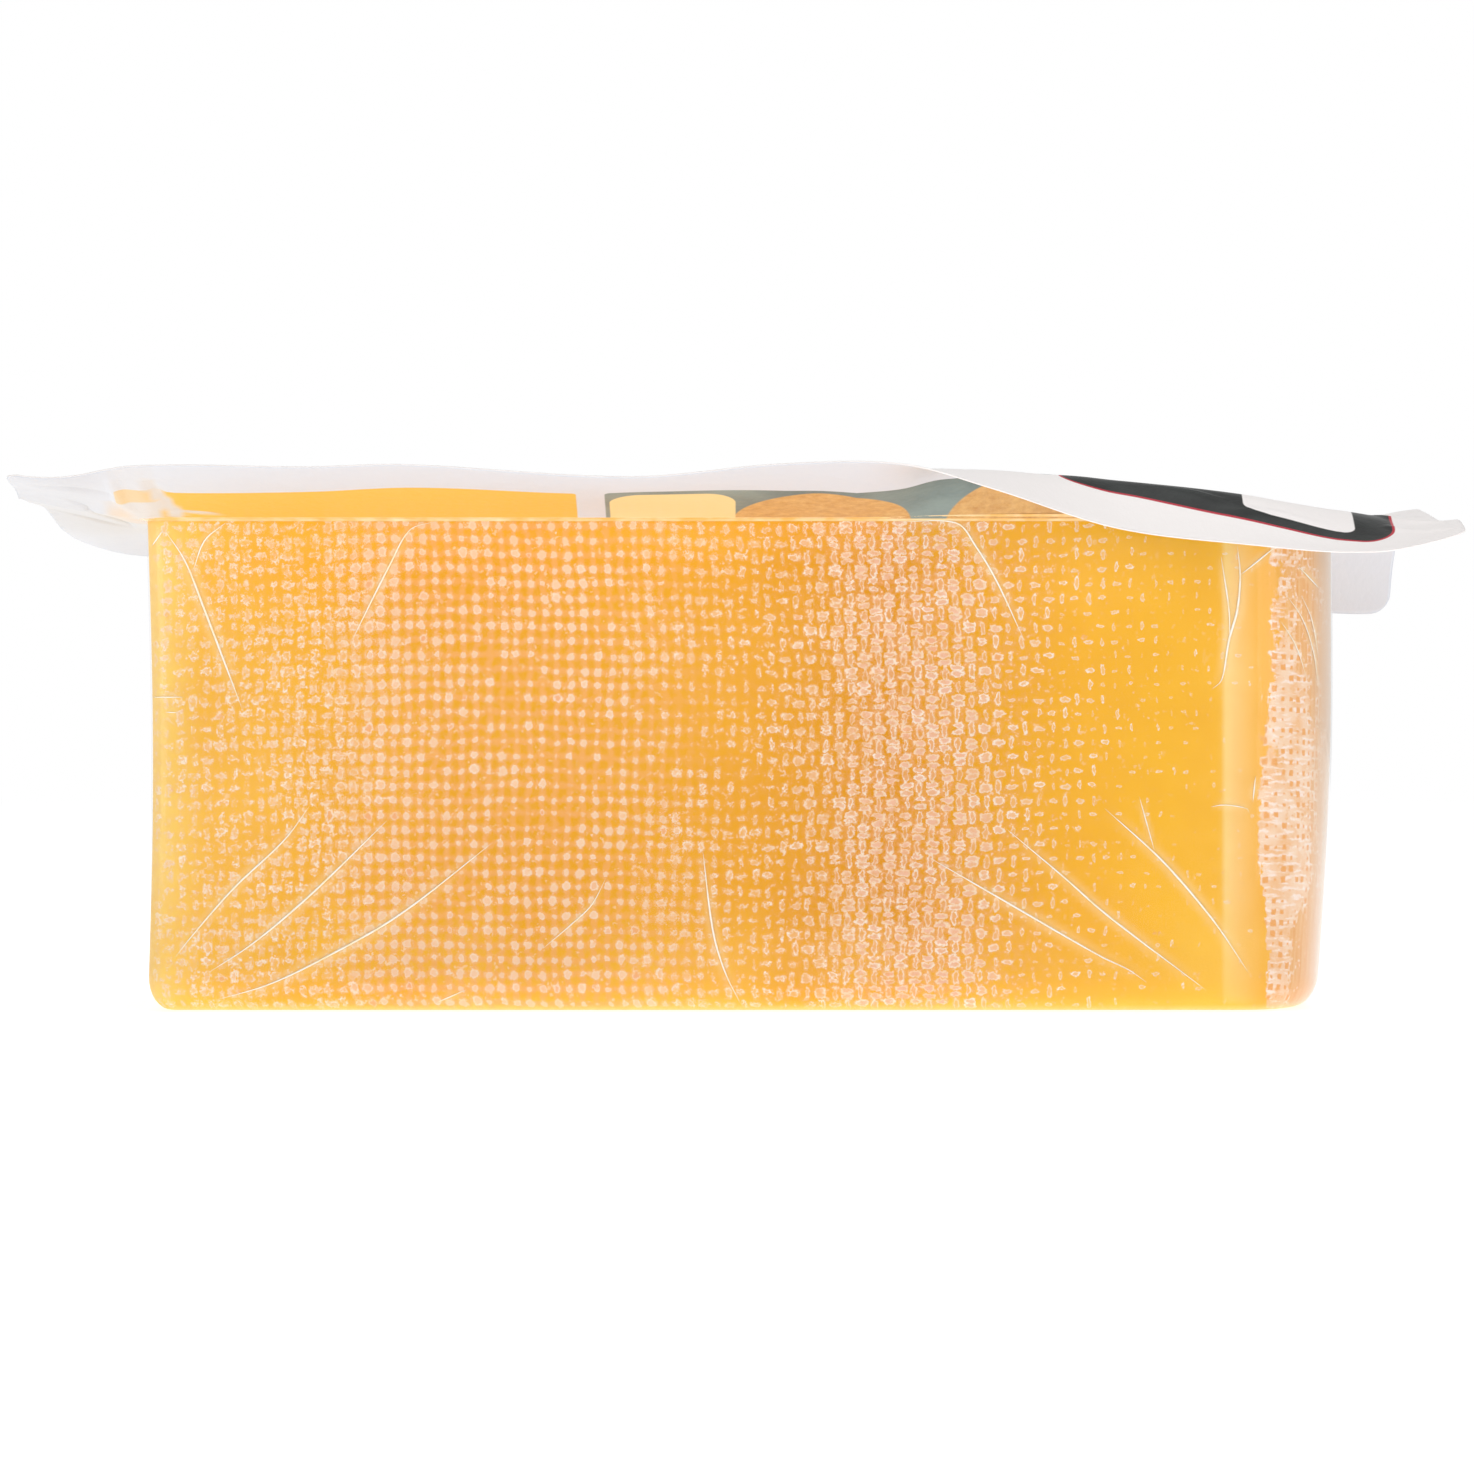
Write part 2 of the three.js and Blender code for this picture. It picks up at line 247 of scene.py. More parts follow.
def sheet_point(s, t):
    """Where the point (s, t) of the flat sheet lies once the sheet is bent."""
    x, y = np.clip(s, -ROOT_X, ROOT_X), np.clip(t, -ROOT_Y, ROOT_Y)
    z = np.full_like(x, LID_Z)
    arch, droop = arch_share(s), droop_share(s)
    near_form = blend([(RAISED, 1 - arch - droop), (ARCHED, arch), (DROOPING, droop)])
    far_share = smooth(t, 0, ROOT_Y + FLANGE_LONG)
    right_form = blend([(RIGHT_END, 1 - far_share), (RIGHT_END_BACK, far_share)])
    folds = [
        (-ROOT_Y - t, FLANGE_LONG, front_edge(s), near_form, 0, -1),
        (t - ROOT_Y, FLANGE_LONG, back_edge(s), hanging(s), 0, 1),
        (-ROOT_X - s, FLANGE_END, left_edge(t), LEFT_END, -1, 0),
        (s - ROOT_X, FLANGE_END, right_edge(t), right_form, 1, 0),
    ]
    for past, width, height, form, x_way, y_way in folds:
        out, up = flange_bend(np.clip(past / width, 0, 1), width, height, form)
        out, up = np.where(past > 0, out, 0), np.where(past > 0, up, 0)
        x, y, z = x + x_way * out, y + y_way * out, z + up
    return x, y, z


# ======== making pieces ========


def grid_piece(name, x, y, z):
    """A primitive grid, each of its vertices moved to its own place. Rows run up or across, columns along."""
    rows, columns = x.shape[0] - 1, x.shape[1] - 1
    bpy.ops.object.select_all(action="DESELECT")
    bpy.ops.mesh.primitive_grid_add(x_subdivisions=columns, y_subdivisions=rows, size=2)
    piece = bpy.context.object
    piece.name = piece.data.name = name
    flat = np.empty(len(piece.data.vertices) * 3)
    piece.data.vertices.foreach_get("co", flat)
    flat = flat.reshape(-1, 3)
    column = np.rint((flat[:, 0] + 1) / 2 * columns).astype(int)
    row = np.rint((flat[:, 1] + 1) / 2 * rows).astype(int)
    places = np.stack([x[row, column], y[row, column], z[row, column]], axis=1) + BLOCK_MIDDLE
    piece.data.vertices.foreach_set("co", (places * MM).ravel())
    piece.data.update()
    return piece, row, column


def set_uv(piece, name, u, v, row, column):
    """The piece's own map, from values at its rows and columns, which the primitive's map gives."""
    layer = piece.data.uv_layers.active
    layer.name = name
    flat = np.empty(len(piece.data.loops) * 2)
    layer.data.foreach_get("uv", flat)
    flat = flat.reshape(-1, 2)
    rows, columns = u.shape[0] - 1, u.shape[1] - 1
    column = np.rint(flat[:, 0] * columns).astype(int)
    row = np.rint(flat[:, 1] * rows).astype(int)
    layer.data.foreach_set("uv", np.stack([u[row, column], v[row, column]], axis=1).ravel())


def paint(piece, name, shares, row, column):
    """A colour attribute that holds up to four shares at each vertex."""
    layer = piece.data.color_attributes.new(name=name, type="FLOAT_COLOR", domain="POINT")
    channels = [share[row, column] for share in shares]
    channels += [np.ones(len(row))] * (4 - len(channels))
    layer.data.foreach_set("color", np.stack(channels, axis=1).ravel())


def select_only(*pieces):
    """Selects these pieces and nothing else, and makes the last one active."""
    bpy.ops.object.select_all(action="DESELECT")
    for piece in pieces:
        piece.select_set(True)
    bpy.context.view_layer.objects.active = pieces[-1]


def edit(piece, selected=None):
    """Opens one piece in edit mode, with all or nothing selected, or with what was."""
    select_only(piece)
    bpy.ops.object.mode_set(mode="EDIT")
    if selected:
        bpy.ops.mesh.select_all(action=selected)


def leave_edit():
    bpy.ops.object.mode_set(mode="OBJECT")


def close_seam(piece):
    """Joins vertices that lie in the same place."""
    edit(piece, "SELECT")
    bpy.ops.mesh.remove_doubles(threshold=0.01 * MM)
    leave_edit()


def face_outwards(piece):
    """Turns all faces the same way. Where that is inwards, the room that the piece holds is negative."""
    edit(piece, "SELECT")
    bpy.ops.mesh.normals_make_consistent(inside=False)
    leave_edit()
    room = sum(face.normal.dot(face.center) * face.area for face in piece.data.polygons)
    if room < 0:
        edit(piece, "SELECT")
        bpy.ops.mesh.flip_normals()
        leave_edit()


def cap(piece, height):
    """Closes the loop of open edges at a height with a flat face that has an even margin."""
    edit(piece, "DESELECT")
    bpy.ops.mesh.select_mode(type="VERT")
    bpy.ops.mesh.select_non_manifold()
    leave_edit()
    for vertex in piece.data.vertices:
        vertex.select = vertex.select and abs(vertex.co.z - height * MM) < 0.2 * MM
    for edge in piece.data.edges:
        edge.select = all(piece.data.vertices[v].select for v in edge.vertices)
    edit(piece)
    bpy.ops.mesh.edge_face_add()
    bpy.ops.mesh.select_mode(type="FACE")
    bpy.ops.mesh.inset(thickness=CAP_MARGIN * MM, depth=0)
    bpy.ops.mesh.quads_convert_to_tris(quad_method="BEAUTY", ngon_method="BEAUTY")
    leave_edit()


def thicken(piece, thickness):
    """Gives a film its thickness inwards. Its inner side takes the second material."""
    select_only(piece)
    wall = piece.modifiers.new("thickness", "SOLIDIFY")
    wall.thickness = thickness * MM
    wall.offset = -1
    wall.use_even_offset = False
    wall.material_offset = 1
    bpy.ops.object.modifier_apply(modifier=wall.name)


def finish_piece(piece, node):
    for polygon in piece.data.polygons:
        polygon.use_smooth = True
    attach(piece, "root")
    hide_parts(node)


# ======== the camera, the floor and the light ========


def studio():
    # The photograph was taken level, from about a metre, with a long lens, half way up the block.
    eye_distance, eye_height, lens_pixels, image_pixels = 1043, 33, 7500, 1474
    horizon_below_middle = 30 / image_pixels
    camera = bpy.data.cameras.new("camera")
    camera.sensor_width = 36
    camera.lens = camera.sensor_width * lens_pixels / image_pixels
    camera.shift_y = horizon_below_middle
    eye = bpy.data.objects.new("camera", camera)
    bpy.context.collection.objects.link(eye)
    eye.location = (BLOCK_MIDDLE + [0, -eye_distance, eye_height]) * MM
    eye.rotation_euler = (np.pi / 2, 0, 0)
    bpy.context.scene.camera = eye

    bpy.ops.object.select_all(action="DESELECT")
    bpy.ops.mesh.primitive_plane_add(size=12)
    floor = bpy.context.object
    floor.name = "floor"
    floor.data.materials.append(table_top())

    world = bpy.data.worlds.new("studio")
    bpy.context.scene.world = world
    world.use_nodes = True
    tree = world.node_tree
    tree.nodes.clear()
    # A white backdrop, and a dimmer room that lights the pack from all round and shows in its gloss.
    ray = add(tree, "LightPath")
    level = add(tree, "MapRange", [ray.outputs["Is Glossy Ray"], 0.0, 1.0, 0.4, 0.78])
    room = add(tree, "Background", {"Color": "#FFFFFF", "Strength": level})
    backdrop = add(tree, "Background", {"Color": "#FFFFFF", "Strength": 1.0})
    light = add(tree, "MixShader", [ray.outputs["Is Camera Ray"], room, backdrop])
    add(tree, "OutputWorld", {"Surface": light})

    # Place, width, height and watts of each light.
    softboxes = [
        ("softbox_left", (-900, -950, 240), 700, 460, 2.2),
        ("softbox_right", (900, -900, 240), 700, 460, 2.2),
        ("softbox_above", (100, 60, 1100), 900, 700, 4.5),
    ]
    for name, place, width, height, watts in softboxes:
        lamp = bpy.data.lights.new(name, "AREA")
        lamp.shape = "RECTANGLE"
        lamp.size, lamp.size_y = width * MM, height * MM
        lamp.energy = watts
        box = bpy.data.objects.new(name, lamp)
        bpy.context.collection.objects.link(box)
        box.location = np.array(place) * MM
        aim = Vector((0, 0, eye_height * MM)) - box.location
        box.rotation_euler = aim.to_track_quat("-Z", "Y").to_euler()
        box.visible_camera = False
    bpy.context.scene.view_settings.view_transform = "Standard"


# ======== materials ========


def colour(code):
    """A colour written as sRGB hex, turned to linear."""
    channels = [int(code[i : i + 2], 16) / 255 for i in (1, 3, 5)]
    linear = [c / 12.92 if c <= 0.04045 else ((c + 0.055) / 1.055) ** 2.4 for c in channels]
    return (*linear, 1.0)


def add(tree, kind, sockets=(), ramp_stops=(), **settings):
    """Adds a node with its settings, and fills its sockets by name or in order.

    A node or an output is linked, hex is a colour, and anything else is the socket's value."""
    made = tree.nodes.new("ShaderNode" + kind)
    for name, value in settings.items():
        setattr(made, name, value)
    for i, (place, tint) in enumerate(ramp_stops):
        stop = made.color_ramp.elements[i] if i < 2 else made.color_ramp.elements.new(place)
        stop.position, stop.color = place, colour(tint)
    enabled = [socket for socket in made.inputs if socket.enabled]
    pairs = sockets.items() if isinstance(sockets, dict) else enumerate(sockets)
    for key, value in pairs:
        socket = enabled[key] if isinstance(key, int) else next(s for s in enabled if s.name == key)
        if isinstance(value, bpy.types.Node):
            value = next(output for output in value.outputs if output.enabled)
        if isinstance(value, bpy.types.NodeSocket):
            tree.links.new(value, socket)
        else:
            socket.default_value = colour(value) if isinstance(value, str) else value
    return made


def new_material(name):
    material = bpy.data.materials.new(name)
    material.use_nodes = True
    material.node_tree.nodes.clear()
    return material, material.node_tree


def table_top():
    """Matt white board, lit so that it stays plain white. It bounces light back up under the block."""
    material, tree = new_material("matt_white_board")
    board = {"Base Color": "#E8E8E8", "Roughness": 0.9, "Specular IOR Level": 0.0}
    lit = {"Emission Color": "#FFFFFF", "Emission Strength": 0.68}
    shader = add(tree, "BsdfPrincipled", board | lit)
    add(tree, "OutputMaterial", {"Surface": shader})
    return material


def lattice(tree, places):
    """The unit cell that each place lies in, the cell's random lots, and the place from the cell's middle."""
    cell = add(tree, "VectorMath", [places], operation="FLOOR")
    chance = add(tree, "TexWhiteNoise", {"Vector": cell}, noise_dimensions="2D")
    spot = add(tree, "VectorMath", [places, cell], operation="SUBTRACT")
    return cell, chance, add(tree, "VectorMath", [spot, (0.5, 0.5, 0.0)], operation="SUBTRACT")


# The rind's colours along the block, from the cut end to the rim. A ramp's last stop is given second.
# The pale yellow at the cut end is a painted glow, and the stops at 0.899 and 0.907 are a painted highlight
# stripe where the flat face turns into the rim.
RIND_COLOURS_AND_PAINTED_LIGHT = [
    (0.0, "#FFE69C"), (1.0, "#E6AA6C"), (0.02, "#FFDA72"), (0.05, "#F9C044"), (0.14, "#F4B222"),
    (0.25, "#ECA80C"), (0.42, "#EEAA14"), (0.5, "#EFA91C"), (0.62, "#DF940A"), (0.7, "#ECA81A"),
    (0.78, "#F8B82C"), (0.85, "#FABE30"), (0.894, "#FBC03C"), (0.899, "#FFE092"), (0.907, "#FFD182"),
    (0.93, "#F9B844"),
]


def base_rind_and_painted_light(tree, place, along, painted_glow_and_paleness):
    """Orange, more golden towards the rim, a little cloudy, and pale yellow near the cut end and the base by
    a painted glow.
    """
    base = add(tree, "ValToRGB", [along], ramp_stops=RIND_COLOURS_AND_PAINTED_LIGHT)
    base = add(tree, "Mix", [painted_glow_and_paleness, base, "#FFCC4E"], data_type="RGBA")
    clouds = add(tree, "TexNoise", {"Vector": place, "Scale": 60.0, "Detail": 3.0, "Roughness": 0.6})
    clouds = add(tree, "MapRange", [clouds, 0.35, 0.7, 0.0, 0.32])
    return add(tree, "Mix", [clouds, base, "#E69C14"], data_type="RGBA")


def cloth_marks(tree, crossing, frayed, grain, cloth, size, run):
    """One mark for each crossing of two threads.

    Gives how far a place is in a mark and on its rim, its place in the cell, and the cell's random lots."""
    pressure, roundness, pink = cloth
    raggedness, split, _ = run
    cell, chance, spot = lattice(tree, crossing)
    lots = add(tree, "SeparateColor", [chance.outputs["Color"]])
    jitter = add(tree, "VectorMath", [chance.outputs["Color"], (0.5, 0.5, 0.5)], operation="SUBTRACT")
    jitter = add(tree, "VectorMath", {"Vector": jitter, "Scale": 0.2}, operation="SCALE")
    spot = add(tree, "VectorMath", [spot, jitter], operation="SUBTRACT")
    index = add(tree, "SeparateXYZ", [cell])
    turn = add(tree, "Math", [index.outputs["X"], index.outputs["Y"]], operation="ADD")
    turn = add(tree, "Math", [turn, 2.0], operation="MODULO")
    # Where the threads pressed hardest a flat mark parts in two, which join the upright marks on both sides.
    spot_axes = add(tree, "SeparateXYZ", [spot])
    up_from_middle = add(tree, "Math", [spot_axes.outputs["Y"]], operation="ABSOLUTE")
    parted = add(tree, "Math", [split, turn], operation="MULTIPLY")
    up_from_middle = add(tree, "Math", [up_from_middle, parted], operation="SUBTRACT")
    spot = add(tree, "CombineXYZ", [spot_axes.outputs["X"], up_from_middle])
    # Half sizes of a mark, in cells: an upright dash and a flat oval by turns, or a round dot.
    shape = add(tree, "Mix", [turn, (0.175, 0.46, 1.0), (0.42, 0.185, 1.0)], data_type="VECTOR")
    shape = add(tree, "Mix", [roundness, shape, (0.35, 0.35, 1.0)], data_type="VECTOR")
    # A mark grows with the pressure of the cloth there, and by chance.
    lot = add(tree, "MapRange", [lots.outputs["Blue"], 0, 1, -0.42, 0.34])
    pressed = add(tree, "Math", [pressure, lot], operation="ADD")
    grown = add(tree, "MapRange", [pressed, 0.0, 1.0, 0.6, 2.2])
    grown = add(tree, "Math", [grown, size], operation="MULTIPLY")
    reach = add(tree, "VectorMath", {"Vector": shape, "Scale": grown}, operation="SCALE")
    far = add(tree, "VectorMath", [spot, reach], operation="DIVIDE")
    far = add(tree, "VectorMath", [far], operation="LENGTH").outputs["Value"]
    edge = add(tree, "MapRange", [roundness, 0, 1, 0.95, 0.62])
    mark = add(tree, "MapRange", [far, 1.18, edge, 0, 1], interpolation_type="SMOOTHSTEP")
    rim = add(tree, "MapRange", [far, 0.5, 0.88, 0, 1], interpolation_type="SMOOTHSTEP")
    # A weak mark is hollow, and only its rim is pale. A round one, or a flat one in the crowd, is all pale.
    crowd = add(tree, "Math", [pink, turn], operation="MULTIPLY")
    whole = add(tree, "Math", [roundness, crowd], operation="MAXIMUM")
    hollow = add(tree, "MapRange", [whole, 0, 1, 0.35, 1.0])
    hollow = add(tree, "Mix", [rim, hollow, 1.0])
    mark = add(tree, "Math", [mark, hollow], operation="MULTIPLY")
    # Where the cloth was rough the marks fray into curls.
    curls = add(tree, "Math", [frayed, 0.5], operation="SUBTRACT")
    curls = add(tree, "Math", [curls], operation="ABSOLUTE")
    curls = add(tree, "MapRange", [curls, 0.05, 0.012, 0, 1], interpolation_type="SMOOTHSTEP")
    beside = add(tree, "MapRange", [far, 1.9, 1.2, 0, 1], interpolation_type="SMOOTHSTEP")
    fray = add(tree, "MapRange", [raggedness, 0.5, 1.0, 0, 0.9])
    curls = add(tree, "Math", [curls, beside], operation="MULTIPLY")
    curls = add(tree, "Math", [curls, fray], operation="MULTIPLY")
    mark = add(tree, "Math", [mark, curls], operation="MAXIMUM")
    worn = add(tree, "MapRange", [grain, 0.54, 0.4, 0, 0.85])
    worn = add(tree, "Math", [worn, fray], operation="MULTIPLY")
    worn = add(tree, "Math", [1.0, worn], operation="SUBTRACT")
    mark = add(tree, "Math", [mark, worn], operation="MULTIPLY")
    shows = add(tree, "MapRange", [pressed, 0.0, 0.38, 0, 1.0], interpolation_type="SMOOTHSTEP")
    mark = add(tree, "Math", [mark, shows], operation="MULTIPLY")
    return mark, rim, spot, lots


def bloomed_rim(tree, weave, ragged, grain, bloom):
    """The bloom's cover and colour, with a pore at each crossing of a finer weave. It ends cell by cell."""
    fine = add(tree, "VectorMath", [weave, (1.2, 1.36, 1.0)], operation="MULTIPLY")
    fine = add(tree, "VectorMath", [fine, ragged], operation="ADD")
    _, pore_chance, pore = lattice(tree, fine)
    pore = add(tree, "VectorMath", [pore], operation="ABSOLUTE")
    pore = add(tree, "SeparateXYZ", [pore])
    pore = add(tree, "Math", [pore.outputs["X"], pore.outputs["Y"]], operation="MAXIMUM")
    pore_size = add(tree, "MapRange", [pore_chance.outputs["Value"], 0, 1, -0.04, 0.3])
    pore = add(tree, "Math", [pore_size, pore], operation="SUBTRACT")
    pore = add(tree, "MapRange", [pore, -0.08, 0.06, 0, 0.95], interpolation_type="SMOOTHSTEP")
    cell_drift = add(tree, "MapRange", [pore_chance.outputs["Value"], 0, 1, -0.3, 0.3])
    cover = add(tree, "Math", [bloom, cell_drift], operation="ADD")
    grain_drift = add(tree, "MapRange", [grain, 0.3, 0.7, -0.25, 0.25])
    cover = add(tree, "Math", [cover, grain_drift], operation="ADD")
    cover = add(tree, "MapRange", [cover, 0.38, 0.62, 0, 1], interpolation_type="SMOOTHSTEP")
    patches = add(tree, "TexNoise", {"Vector": fine, "Scale": 0.34, "Detail": 2.0, "Roughness": 0.6})
    patches = add(tree, "MapRange", [patches, 0.42, 0.6, 0, 0.8])
    bloom_tint = add(tree, "Mix", [patches, "#F8D7B8", "#F2BC84"], data_type="RGBA")
    laid = add(tree, "VectorMath", [fine, (0.55, 2.6, 1.0)], operation="MULTIPLY")
    laid = add(tree, "TexNoise", {"Vector": laid, "Scale": 1.0, "Detail": 2.0})
    laid = add(tree, "MapRange", [laid, 0.5, 0.64, 0, 0.85])
    bloom_tint = add(tree, "Mix", [laid, bloom_tint, "#FEEBE0"], data_type="RGBA")
    return cover, add(tree, "Mix", [pore, bloom_tint, "#EFA95E"], data_type="RGBA")


def pressed_rind():
    """Semi-hard cheese, washed and turned in coarse cloth.

    The rind is a waxy orange. Where threads crossed they left small pale pits, long upright ones and wide
    flat ones by turns, each with a paler rim. Where the cloth lay flat the pits are round, and the threads
    show between them. On the rim the cloth left a pale pink bloom with orange pores. Cut faces are smooth."""
    material, tree = new_material("cloth_pressed_cheese_rind")
    place = add(tree, "TexCoord").outputs["Object"]
    axes = add(tree, "SeparateXYZ", [place])
    along = add(tree, "MapRange", [axes.outputs["X"], CUT_END_X * MM, RIM_X * MM, 0, 1])
    weave = add(tree, "UVMap", uv_map="weave")
    painted = [add(tree, "VertexColor", layer_name=name) for name in ("cloth", "skin", "run")]
    cloth, skin, run = (add(tree, "SeparateColor", [paint]).outputs for paint in painted)
    painted_sheen, _, peach = (paint.outputs["Alpha"] for paint in painted)
    pressure, roundness, pink = cloth
    cut, bloom, size = skin
    raggedness, _, painted_glow_and_paleness = run

    # Fine grain, at the scale of the cloth's fibres. The threads wander, so noise shifts the weave.
    grain = add(tree, "TexNoise", {"Vector": place, "Scale": 1100.0, "Detail": 2.0, "Roughness": 0.7})
    noise = add(tree, "TexNoise", {"Vector": weave, "Scale": 2.2, "Detail": 3.0, "Roughness": 0.72})
    ragged = add(tree, "VectorMath", [noise.outputs["Color"], (0.5, 0.5, 0.5)], operation="SUBTRACT")
    ragged = add(tree, "VectorMath", {"Vector": ragged, "Scale": raggedness}, operation="SCALE")
    crossing = add(tree, "VectorMath", [weave, ragged], operation="ADD")
    frayed = noise.outputs["Fac"]
    mark, rim, spot, lots = cloth_marks(tree, crossing, frayed, grain, cloth, size, run)
    cover, flesh = bloomed_rim(tree, weave, ragged, grain, bloom)

    # Between the marks the rind is lighter along each thread, pinkish where the marks crowd, and speckled
    # with painted glints of the film.
    span = add(tree, "VectorMath", [spot], operation="ABSOLUTE")
    span = add(tree, "SeparateXYZ", [span])
    thread = add(tree, "Math", [span.outputs["X"], span.outputs["Y"]], operation="MINIMUM")
    thread = add(tree, "MapRange", [thread, 0.34, 0.1, 0, 0.55], interpolation_type="SMOOTHSTEP")
    smear = add(tree, "MapRange", [grain, 0.38, 0.7, 0, 0.7])
    painted_glint_specks = add(tree, "MapRange", [grain, 0.62, 0.68, 0, 0.75])
    rind = base_rind_and_painted_light(tree, place, along, painted_glow_and_paleness)
    for share, where, tint in [
        (thread, roundness, "#F4B070"), (smear, pink, "#EEAC80"), (painted_glint_specks, pressure, "#FADAB4"),
    ]:
        share = add(tree, "Math", [share, where], operation="MULTIPLY")
        rind = add(tree, "Mix", [share, rind, tint], data_type="RGBA")
    core = add(tree, "Mix", [pink, "#F6D3AE", "#EEBB9C"], data_type="RGBA")
    sore = add(tree, "MapRange", [lots.outputs["Red"], 0.95, 0.99, 0, 0.6])
    core = add(tree, "Mix", [sore, core, "#EE9A5A"], data_type="RGBA")
    # Each mark's rim is pale, and some are whiter by chance: a painted glint of the film on them.
    painted_mark_glint = add(tree, "MapRange", [lots.outputs["Green"], 0.3, 1.0, 0, 1])
    rim_tint = add(tree, "Mix", [painted_mark_glint, "#F5D8BA", "#F9ECDE"], data_type="RGBA")
    mark_tint = add(tree, "Mix", [rim, core, rim_tint], data_type="RGBA")
    rind = add(tree, "Mix", [mark, rind, mark_tint], data_type="RGBA")

    # Where the bloom is worn the rim is streaked, and towards its middle it turns beige.
    streaked = add(tree, "VectorMath", [weave, (3.2, 0.16, 1.0)], operation="MULTIPLY")
    streaks = add(tree, "TexNoise", {"Vector": streaked, "Scale": 1.0, "Detail": 3.0, "Roughness": 0.65})
    streaks = add(tree, "ValToRGB", [streaks], ramp_stops=[(0.32, "#EAA65C"), (0.68, "#F1C18A")])
    beige_rim_middle = add(tree, "MapRange", [along, 0.966, 0.988, 0, 0.75], interpolation_type="SMOOTHSTEP")
    # The cut faces are the bare paste: ivory yellow, drawn faintly along the wire's path.
    drawn = add(tree, "VectorMath", [place, (700.0, 60.0, 700.0)], operation="MULTIPLY")
    drawn = add(tree, "TexNoise", {"Vector": drawn, "Scale": 1.0, "Detail": 3.0})
    paste = add(tree, "ValToRGB", [drawn], ramp_stops=[(0.25, "#F8C872"), (0.75, "#FCD686")])

    # Beside a crease the film has lifted, and a painted sheen makes what is under it look pale.
    for share, tint in [(peach, streaks), (cover, flesh), (beige_rim_middle, "#D8B48E"), (painted_sheen, "#FFE4AE"), (cut, paste)]:
        rind = add(tree, "Mix", [share, rind, tint], data_type="RGBA")

    bump = add(tree, "Bump", {"Strength": 0.3, "Distance": 0.0001, "Height": grain})
    sockets = {"Base Color": rind, "Roughness": 0.5, "IOR": 1.45, "Specular IOR Level": 0.1, "Normal": bump}
    shader = add(tree, "BsdfPrincipled", sockets)
    add(tree, "OutputMaterial", {"Surface": shader})
    return material


def clinging_film():
    """Clear polyamide and polyethylene film, drawn tight by the vacuum.

    It is seen only by its gloss. The cheese wets it, so light that comes back out passes it freely."""
    material, tree = new_material("tight_clear_film")
    clear = add(tree, "BsdfTransparent", {"Color": "#FFFFFF"})
    place = add(tree, "TexCoord").outputs["Object"]
    waves = add(tree, "TexNoise", {"Vector": place, "Scale": 90.0, "Detail": 2.0, "Roughness": 0.65})
    bump = add(tree, "Bump", {"Strength": 0.35, "Distance": 0.0004, "Height": waves})
    gloss = add(tree, "BsdfGlossy", {"Color": "#FFFFFF", "Roughness": 0.1, "Normal": bump})
    edge = add(tree, "Fresnel", {"IOR": 1.35})
    from_inside = add(tree, "NewGeometry").outputs["Backfacing"]
    from_outside = add(tree, "Math", [1.0, from_inside], operation="SUBTRACT")
    edge = add(tree, "Math", [edge, from_outside], operation="MULTIPLY")
    surface = add(tree, "MixShader", [edge, clear, gloss])
    add(tree, "OutputMaterial", {"Surface": surface})
    return material


def milky_film(name, grains_per_metre, stops):
    """The same film where it isn't clear.

    Strain whitens it in a crease, and its pale cream there is also a painted highlight. Welded to the lid it
    is thick, milky and warm from the cheese below."""
    material, tree = new_material(name)
    place = add(tree, "TexCoord").outputs["Object"]
    grain = add(tree, "TexNoise", {"Vector": place, "Scale": grains_per_metre, "Detail": 2.0})
    tint = add(tree, "ValToRGB", [grain], ramp_stops=stops)
    body = add(tree, "BsdfPrincipled", {"Base Color": tint, "Roughness": 0.2, "IOR": 1.5})
    add(tree, "OutputMaterial", {"Surface": body})
    return material


def inside_field(tree, flat, centre, half, corner):
    """How far inside a rounded field a place is, from 0 to 1. Sizes are in millimetres on the flat film."""
    away = add(tree, "VectorMath", [flat, (*centre, 0.0)], operation="SUBTRACT")
    away = add(tree, "VectorMath", [away], operation="ABSOLUTE")
    core = (half[0] - corner, half[1] - corner, 0.0)
    away = add(tree, "VectorMath", [away, core], operation="SUBTRACT")
    away = add(tree, "VectorMath", [away, (0.0, 0.0, 0.0)], operation="MAXIMUM")
    away = add(tree, "VectorMath", [away], operation="LENGTH").outputs["Value"]
    return add(tree, "MapRange", [away, corner + 0.08, corner - 0.08, 0, 1])


def inside_oval(tree, flat, centre, half):
    """The same for an oval."""
    away = add(tree, "VectorMath", [flat, (*centre, 0.0)], operation="SUBTRACT")
    away = add(tree, "VectorMath", [away, (*half, 1.0)], operation="DIVIDE")
    away = add(tree, "VectorMath", [away], operation="LENGTH").outputs["Value"]
    return add(tree, "MapRange", [away, 1.01, 0.99, 0, 1])


def inside_triangle(tree, flat, corners):
    """The same for a triangle, its corners given anticlockwise."""
    share = 1.0
    for (x0, y0), (x1, y1) in zip(corners, corners[1:] + corners[:1]):
        length = np.hypot(x1 - x0, y1 - y0)
        inwards = ((y0 - y1) / length, (x1 - x0) / length, 0.0)
        edge = inwards[0] * x0 + inwards[1] * y0
        across = add(tree, "VectorMath", [flat, inwards], operation="DOT_PRODUCT").outputs["Value"]
        inside = add(tree, "MapRange", [across, edge - 0.08, edge + 0.08, 0, 1])
        share = add(tree, "Math", [inside, share], operation="MINIMUM")
    return share


# Inks of the print's picture.
PALE_PASTE, SHADED_PASTE, DARK_CRUST = "#F8DC98", "#EFC878", "#C98C35"


